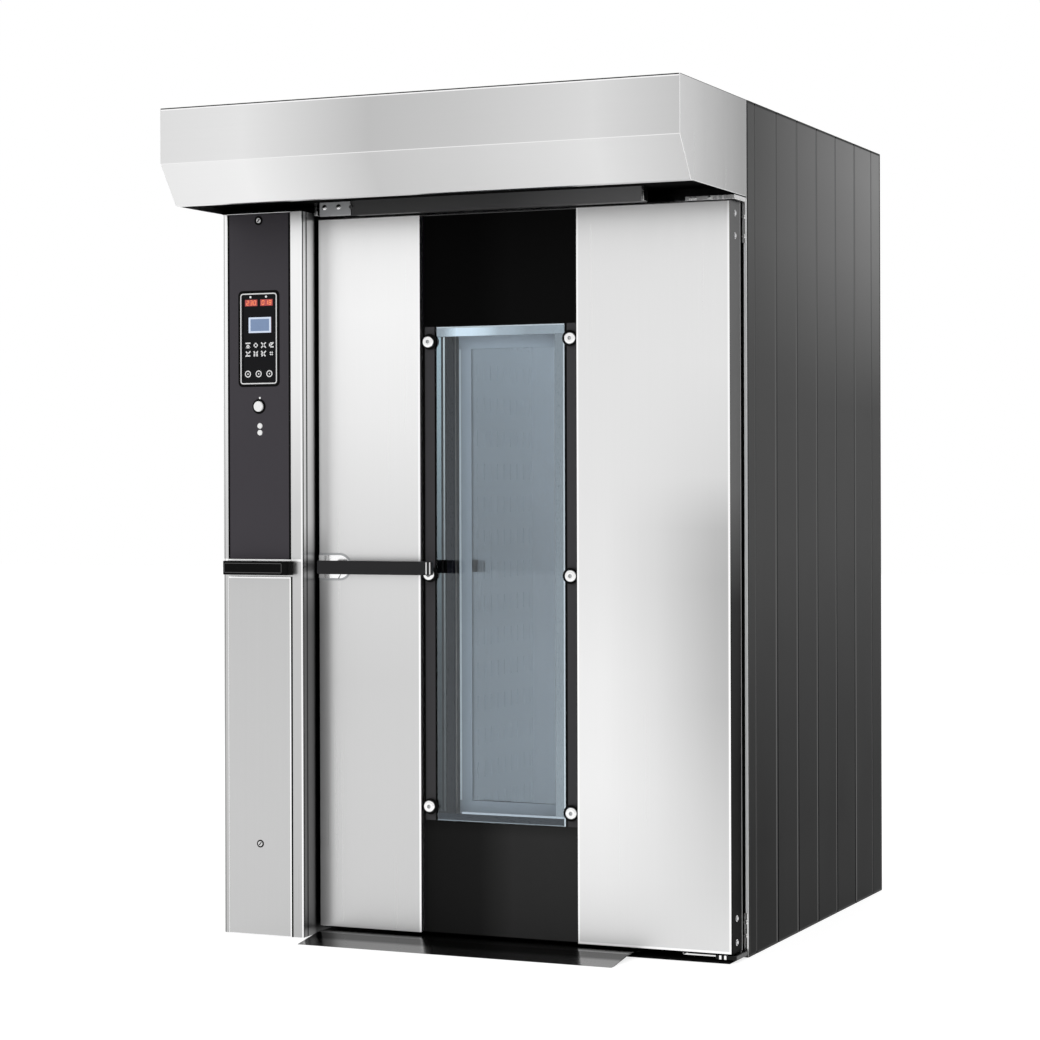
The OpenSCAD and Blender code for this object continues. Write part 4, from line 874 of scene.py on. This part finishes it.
# %% Caps and washers
pane_face = low.y
button_x = (low.x - 0.020, high.x + 0.020)
button_z = (low.z + 0.039, (low.z + high.z) / 2 - 0.002, high.z - 0.0415)
cap = [(0, 0.0052), (0.0040, 0.0054), (0.0052, 0.0096), (0.010, 0.0102), (0.0145, 0.0094),
       (0.0166, 0.0074), (0.0172, 0.0048), (0.0172, 0.0030), (0.0, 0.0030)]
stem = [(0, 0), (0.007, 0), (0.007, 0.0073), (0, 0.0073)]
washer = [(0, 0.0003), (0.0222, 0.0003), (0.0222, 0.0022), (0.0210, 0.0028), (0, 0.0028)]
dimple = [(0, 0.0060), (0.0040, 0.0062), (0.0046, 0.0098), (0.0050, 0.0062), (0, 0.0050)]
work, dimple_shades, washers = bmesh.new(), bmesh.new(), bmesh.new()
for x in button_x:
    lean = 0.002 if x < 0 else -0.002
    for z in button_z:
        turn_profile(work, (x, pane_face, z), cap, 40)
        turn_profile(work, (x, pane_face + 0.0072, z), stem, 24)
        turn_profile(washers, (x + lean, pane_face, z), washer, 40)
        turn_profile(dimple_shades, (x, pane_face, z), dimple, 20)
caps = make_piece("button_caps", work, "button_cap", "door")
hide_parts("glass_buttons")
# The dimples take a darker finish: painted shade in the hollow of each cap.
make_piece("button_dimple_shades", dimple_shades, "galvanised", "door")
make_piece("button_washers", washers, "black_plastic", "door")
print("buttons at z", [round(z, 3) for z in button_z])

# %% [markdown]
# ## The keypad
# Behind the raised rim lie two red number windows, a blue one, eight printed keys and three round
# ones. Drawing them in a texture would blur at the edges. Every mark is a thin raised print
# instead, a tenth of a millimetre thick, so it stays sharp from any distance.

# %% Keypad rim
rim_low, rim_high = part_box("keypad_bezel")
mid_x, mid_z = (rim_low.x + rim_high.x) / 2, (rim_low.z + rim_high.z) / 2
rim_w, rim_h = rim_high.x - rim_low.x, rim_high.z - rim_low.z


def rounded_loop(w, h, r):
    """Points of a rounded rectangle about the keypad's centre, anticlockwise from the front."""
    steps, points = 8, []
    for k, (sx, sz) in enumerate(((1, 1), (-1, 1), (-1, -1), (1, -1))):
        for i in range(steps + 1):
            a = radians(90 * k + 90 * i / steps)
            points.append((mid_x + sx * (w / 2 - r) + r * cos(a),
                           mid_z + sz * (h / 2 - r) + r * sin(a)))
    return points


work = bmesh.new()
keys_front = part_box("membrane_keys")[0].y
front_y = rim_low.y - 0.0004
section = ((0.0010, 0.0022, 0.009), (0.0010, 0.0006, 0.009), (0.0014, 0.0, 0.0085),
           (0.0042, 0.0, 0.006), (0.0046, 0.0006, 0.0055), (0.0046, 0.0022, 0.0055))
skin(work, [[work.verts.new((x, front_y + back, z))
             for x, z in rounded_loop(rim_w - 2 * inset, rim_h - 2 * inset, radius)]
            for inset, back, radius in section])
make_piece("keypad_rim", work, "keypad_rim")
print("keypad", round(rim_w, 4), round(rim_h, 4), "at", round(mid_x, 4), round(mid_z, 4))

# %% Dark outlines round the keypad, the fascia and the locks
outlines = bmesh.new()
fascia_low, fascia_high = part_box("control_fascia")
face_y, film = fascia_low.y, 0.0003
# Round the keypad, two dark rings of painted shade, outside and inside its raised rim.
for outer, inner, outer_r, inner_r, plane, lift in (
        (0.0065, -0.001, 0.014, 0.009, face_y, 1),
        (-0.0050, -0.0100, 0.005, 0.003, keys_front - 0.0002, 0.3)):
    skin(outlines, [[outlines.verts.new((x, plane - rise * lift, z))
                  for x, z in rounded_loop(rim_w + 2 * out, rim_h + 2 * out, r)]
                 for out, rise, r in ((outer, 0.0001, outer_r), (outer, 0.0004, outer_r),
                                      (inner, 0.0004, inner_r))])
seal_w = 0.0055
for x0 in (fascia_low.x, fascia_high.x - seal_w):
    plate(outlines, x0, x0 + seal_w, fascia_low.z, fascia_high.z, face_y, film)
plate(outlines, service_high.x, service_high.x + 0.005, service_low.z, service_high.z, service_low.y,
      film)
for node, ring in (("fascia_lock", 0.006), ("service_lock", 0.004), ("button_ring", 0.003)):
    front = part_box(node)[0].y
    face = [v for v in corners(node) if v.y < front + 0.001]
    (x0, x1), (z0, z1) = span(face, 0), span(face, 2)
    x, z, radius = (x0 + x1) / 2, (z0 + z1) / 2, (x1 - x0) / 2
    turn_profile(outlines, (x, face_y, z), [(radius, 0.0), (radius, 0.0006), (radius + ring, 0.0006),
                                         (radius + ring, 0.0)])
    if "lock" in node:
        stroke(outlines, (x - 0.003, z - 0.003), (x + 0.003, z + 0.003), 0.0026, front, 0.0002)
make_piece("dark_outlines", outlines, "black_plastic")
print("seals round the keypad, fascia and locks")

# %% Line round the bumper band
band_low, band_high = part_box("column_band")
work = bmesh.new()
inset = 0.0065
ends = [(band_low.x + inset, band_low.z + inset), (band_high.x - 3 * inset, band_low.z + inset),
        (band_high.x - 3 * inset, band_high.z - inset), (band_low.x + inset, band_high.z - inset)]
for start, end in zip(ends, ends[1:] + ends[:1]):
    stroke(work, start, end, 0.0014, band_low.y, 0.0002)
make_piece("band_outline", work, "band_line")
print("band", [round(v, 3) for v in band_high - band_low])

# %% Numbers on the red windows
display_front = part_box("displays")[0].y
SEGMENTS = {"0": "abcdef", "1": "bc", "2": "abged", "3": "abgcd", "8": "abcdefg"}
ENDS = {"a": (0, 1, 1, 1), "b": (1, 1, 1, 0.5), "c": (1, 0.5, 1, 0), "d": (0, 0, 1, 0),
        "e": (0, 0.5, 0, 0), "f": (0, 1, 0, 0.5), "g": (0, 0.5, 1, 0.5)}
digit_w, digit_h, digit_step, slant, line_gap = 0.0064, 0.0116, 0.0112, 0.001, 0.0009
work = bmesh.new()
for cx, digits in ((mid_x - 0.0243, "230"), (mid_x + 0.0247, "018")):
    for k, digit in enumerate(digits):
        start_x, start_z = cx - 0.0145 + k * digit_step, mid_z + 0.0957
        for segment in SEGMENTS[digit]:
            x0, z0, x1, z1 = ENDS[segment]
            a = Vector((start_x + x0 * digit_w + z0 * slant, start_z + z0 * digit_h))
            b = Vector((start_x + x1 * digit_w + z1 * slant, start_z + z1 * digit_h))
            run = (b - a).normalized() * line_gap
            stroke(work, a + run, b - run, 0.0014, display_front, 0.0001)
make_piece("display_digits", work, "red_digit")

cx, cz = mid_x + 0.0035, mid_z + 0.0385
for name, half_w, half_h, y, depth, finish in (
        ("border", 0.036, 0.022, display_front, 0.00008, "blue_border"),
        ("field", 0.030, 0.017, display_front - 0.00008, 0.0001, "blue_window")):
    work = bmesh.new()
    plate(work, cx - half_w, cx + half_w, cz - half_h, cz + half_h, y, depth)
    make_piece("blue_display_" + name, work, finish)
print("displays at y", round(display_front, 4))

# %% Printed symbols on the eight keys
symbols = [  # strokes of each key: from x and z to x and z
    [(-1, 1, 1, 1), (0, 0.5, -0.8, -1), (0, 0.5, 0.8, -1), (-0.6, -1, 0.6, -1)],
    [(-0.8, 0.8, 0.8, 0.8), (0.8, 0.8, 0.8, -0.8), (0.8, -0.8, -0.8, -0.8), (-0.8, -0.8, -0.8, 0.8)],
    [(-1, 1, 1, -1), (-1, -1, 1, 1), (0, 0.4, 0, -0.4)],
    [(-0.9, 0.9, 0.2, 0.9), (-0.9, 0.9, -0.9, -0.9), (-0.9, -0.9, 0.9, -0.9), (0.9, 0.9, -0.2, -0.1)],
    [(-1, -1, 1, 1), (-0.9, 0.9, 0, 0), (-0.2, -0.9, 0.9, -0.9)],
    [(-0.9, 0.9, -0.2, 0.2), (0.9, 0.9, 0.2, 0.2), (-0.8, -0.2, 0.8, -0.2), (-0.8, -0.9, 0.8, -0.9),
     (0, 0.2, 0, -0.9)],
    [(-1, 1, 0.8, -1), (-0.8, -1, 1, 1), (-1, -0.2, -0.4, -0.2)],
    [(0, 0.9, 0.9, 0), (0.9, 0, 0, -0.9), (0, -0.9, -0.9, 0), (-0.9, 0, 0, 0.9)],
]
work = bmesh.new()
symbol_r, columns = 0.0062, 4
for k, strokes in enumerate(symbols):
    cx = mid_x + 0.003 + (k % columns - 1.5) * 0.025
    cz = mid_z - 0.0305 + (0.5 - k // columns) * 0.024
    for x0, z0, x1, z1 in strokes:
        start, end = ((cx + x * symbol_r, cz + z * symbol_r) for x, z in ((x0, z0), (x1, z1)))
        stroke(work, start, end, 0.0036, keys_front, 0.0001)
make_piece("key_symbols", work, "pale_keys")
print(len(symbols), "printed keys")

# %% Rings and dots on the round keys
key_ring = [(0.0066, -0.0003), (0.0068, 0.0001), (0.0096, 0.0001), (0.0098, -0.0003)]
key_dot = [(0, -0.0003), (0.0022, -0.0003), (0.0024, -0.0007)]
for node in ("key_left", "key_middle", "key_right"):
    key_low, key_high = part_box(node)
    centre = ((key_low.x + key_high.x) / 2, key_low.y, (key_low.z + key_high.z) / 2)
    work = bmesh.new()
    turn_profile(work, centre, key_ring)
    turn_profile(work, centre, key_dot, 20)
    make_piece(node + "_print", work, "pale_keys", body_of[node])
work = bmesh.new()
for x in (mid_x - 0.026, mid_x + 0.024):
    turn_profile(work, (x, keys_front, mid_z + 0.1180),
                 [(0, 0.0008), (0.0030, 0.0008), (0.0034, 0.0)], 20)
make_piece("number_window_lights", work, "white_plastic")
print("round keys printed")

# %% [markdown]
# ## Painted shadow under the door
# Right of the ramp the gap under the door is black in the photograph: the shadow under the door. A
# flat near-black strip on the floor there paints that shadow; left out, the white floor would shine
# through under the door.

# %% Strip of painted shadow
ramp_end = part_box("entry_ramp")[1].x
strip_front, strip_back = left_low.y - 0.012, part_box("front_frame")[0].y - 0.001
strip = ((ramp_end - 0.14, strip_front), (right_high.x, strip_front), (right_high.x, strip_back),
         (ramp_end + 0.001, strip_back))
work = bmesh.new()
push_outline(work, [(x, y, 0.0004) for x, y in strip], (0, 0, 0.0022))
make_piece("painted_shadow_under_door", work, "shade_black", bevel=0.0005)
print("painted_shadow from x", round(ramp_end, 3), "to", round(right_high.x, 3))

# %% [markdown]
# ## Handle and steam deflector
# The handle's bar ends in two pale ribs, painted highlights on its end, and its bright plate, whose
# brightness is a painted highlight, has a grey line round it, painted shade. The deflector above
# the door has a lighter fixing plate with two screws at its left end and a turned-up flange at its
# right end, whose bright steel is a painted highlight. Each is made from the CAD box it belongs to.

# %% Painted highlights on the bar's end, painted shade round the plate
def block(work, low, high):
    """A block with its edges still sharp; the piece's bevel rounds them."""
    plate(work, low[0], high[0], low[2], high[2], high[1], high[1] - low[1])


tip_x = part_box("door_handle")[1].x
tip = [v for v in corners("door_handle") if v.x > tip_x - 0.02]
bar_y, bar_z = span(tip, 1), span(tip, 2)
work = bmesh.new()
for start in (0.0190, 0.0080):
    block(work, (tip_x - start, bar_y[0] - 0.0008, bar_z[0] + 0.002),
          (tip_x - start + 0.0038, bar_y[1] + 0.0008, bar_z[1] - 0.002))
# Two pale ribs across the bar's end: painted highlights.
make_piece("handle_end_highlights", work, "pale_keys", body_of["door_handle"], bevel=0.001)
plate_low, plate_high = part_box("handle_plate")
plate_r = (plate_high.z - plate_low.z) / 2
hub_x, hub_z = plate_high.x - plate_r, (plate_high.z + plate_low.z) / 2
edge, straight_x = plate_r + 0.006, plate_low.x + 0.001
outline = [(straight_x, hub_z - edge)] + [
    (hub_x + edge * cos(a), hub_z + edge * sin(a))
    for a in (radians(6 * k - 90) for k in range(31))] + [(straight_x, hub_z + edge)]
work = bmesh.new()
push_outline(work, [(x, left_low.y, z) for x, z in outline], (0, -0.0008, 0))
# A grey line round the plate: painted shade.
make_piece("handle_plate_shade_line", work, "galvanised", "door")
print("cap highlights and shade_line at z", round(hub_z, 3))

# %% Fixing plate and flange of the deflector
bar_low, bar_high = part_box("steam_deflector")
bar_top = bar_high.z - 0.001
work = bmesh.new()
block(work, (bar_low.x, bar_low.y + 0.0005, bar_low.z + 0.001),
      (bar_low.x + 0.098, bar_low.y + 0.0035, bar_top))
make_piece("fixing_plate_face", work, "galvanised", bevel=0.001)
work = bmesh.new()
for x in (0.016, 0.060):
    bolt(work, (bar_low.x + x, bar_low.y + 0.0005, bar_low.z + 0.026), (0, -1, 0), 0.0045, 0.0026)
block(work, (bar_low.x - 0.016, bar_low.y + 0.001, bar_low.z + 0.004),
      (bar_low.x - 0.008, bar_low.y + 0.02, bar_top))
# The flange at the right end takes the bright fold steel: a painted highlight.
block(work, (bar_high.x - 0.003, bar_low.y - 0.004, bar_low.z + 0.002),
      (bar_high.x + 0.003, bar_low.y + 0.03, bar_top))
make_piece("deflector_fixings", work, "fold", bevel=0.0006)
print("deflector from x", round(bar_low.x, 3), "to", round(bar_high.x, 3))

# %% [markdown]
# ## Small fasteners
# Bolts hold the hinge leaf to the door's edge and the motors to the roof. They are too small for
# the solids and too bright to leave out. Each is a turned washer with a six-sided head on top.

# %% Bolts
work = bmesh.new()
edge_x, edge_middle_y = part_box("door_edges")[1].x, -0.0625
for z in (0.114, 0.050, 1.93, 1.99):
    bolt(work, (edge_x, edge_middle_y, z), (1, 0, 0), 0.0055, 0.0030)
make_piece("door_edge_bolts", work, "bolt_steel", "door")
work = bmesh.new()
foot_plate_top, motor_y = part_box("roof_panel")[1].z + 0.010, 0.63
for motor_x, half in ((-0.515, 0.083), (0.13, 0.098)):
    for sx in (-1, 1):
        for sy in (-1, 1):
            place = (motor_x + sx * half, motor_y + sy * half, foot_plate_top)
            bolt(work, place, (0, 0, 1), 0.007, 0.006)
make_piece("motor_bolts", work, "bolt_steel")
print("bolts placed")
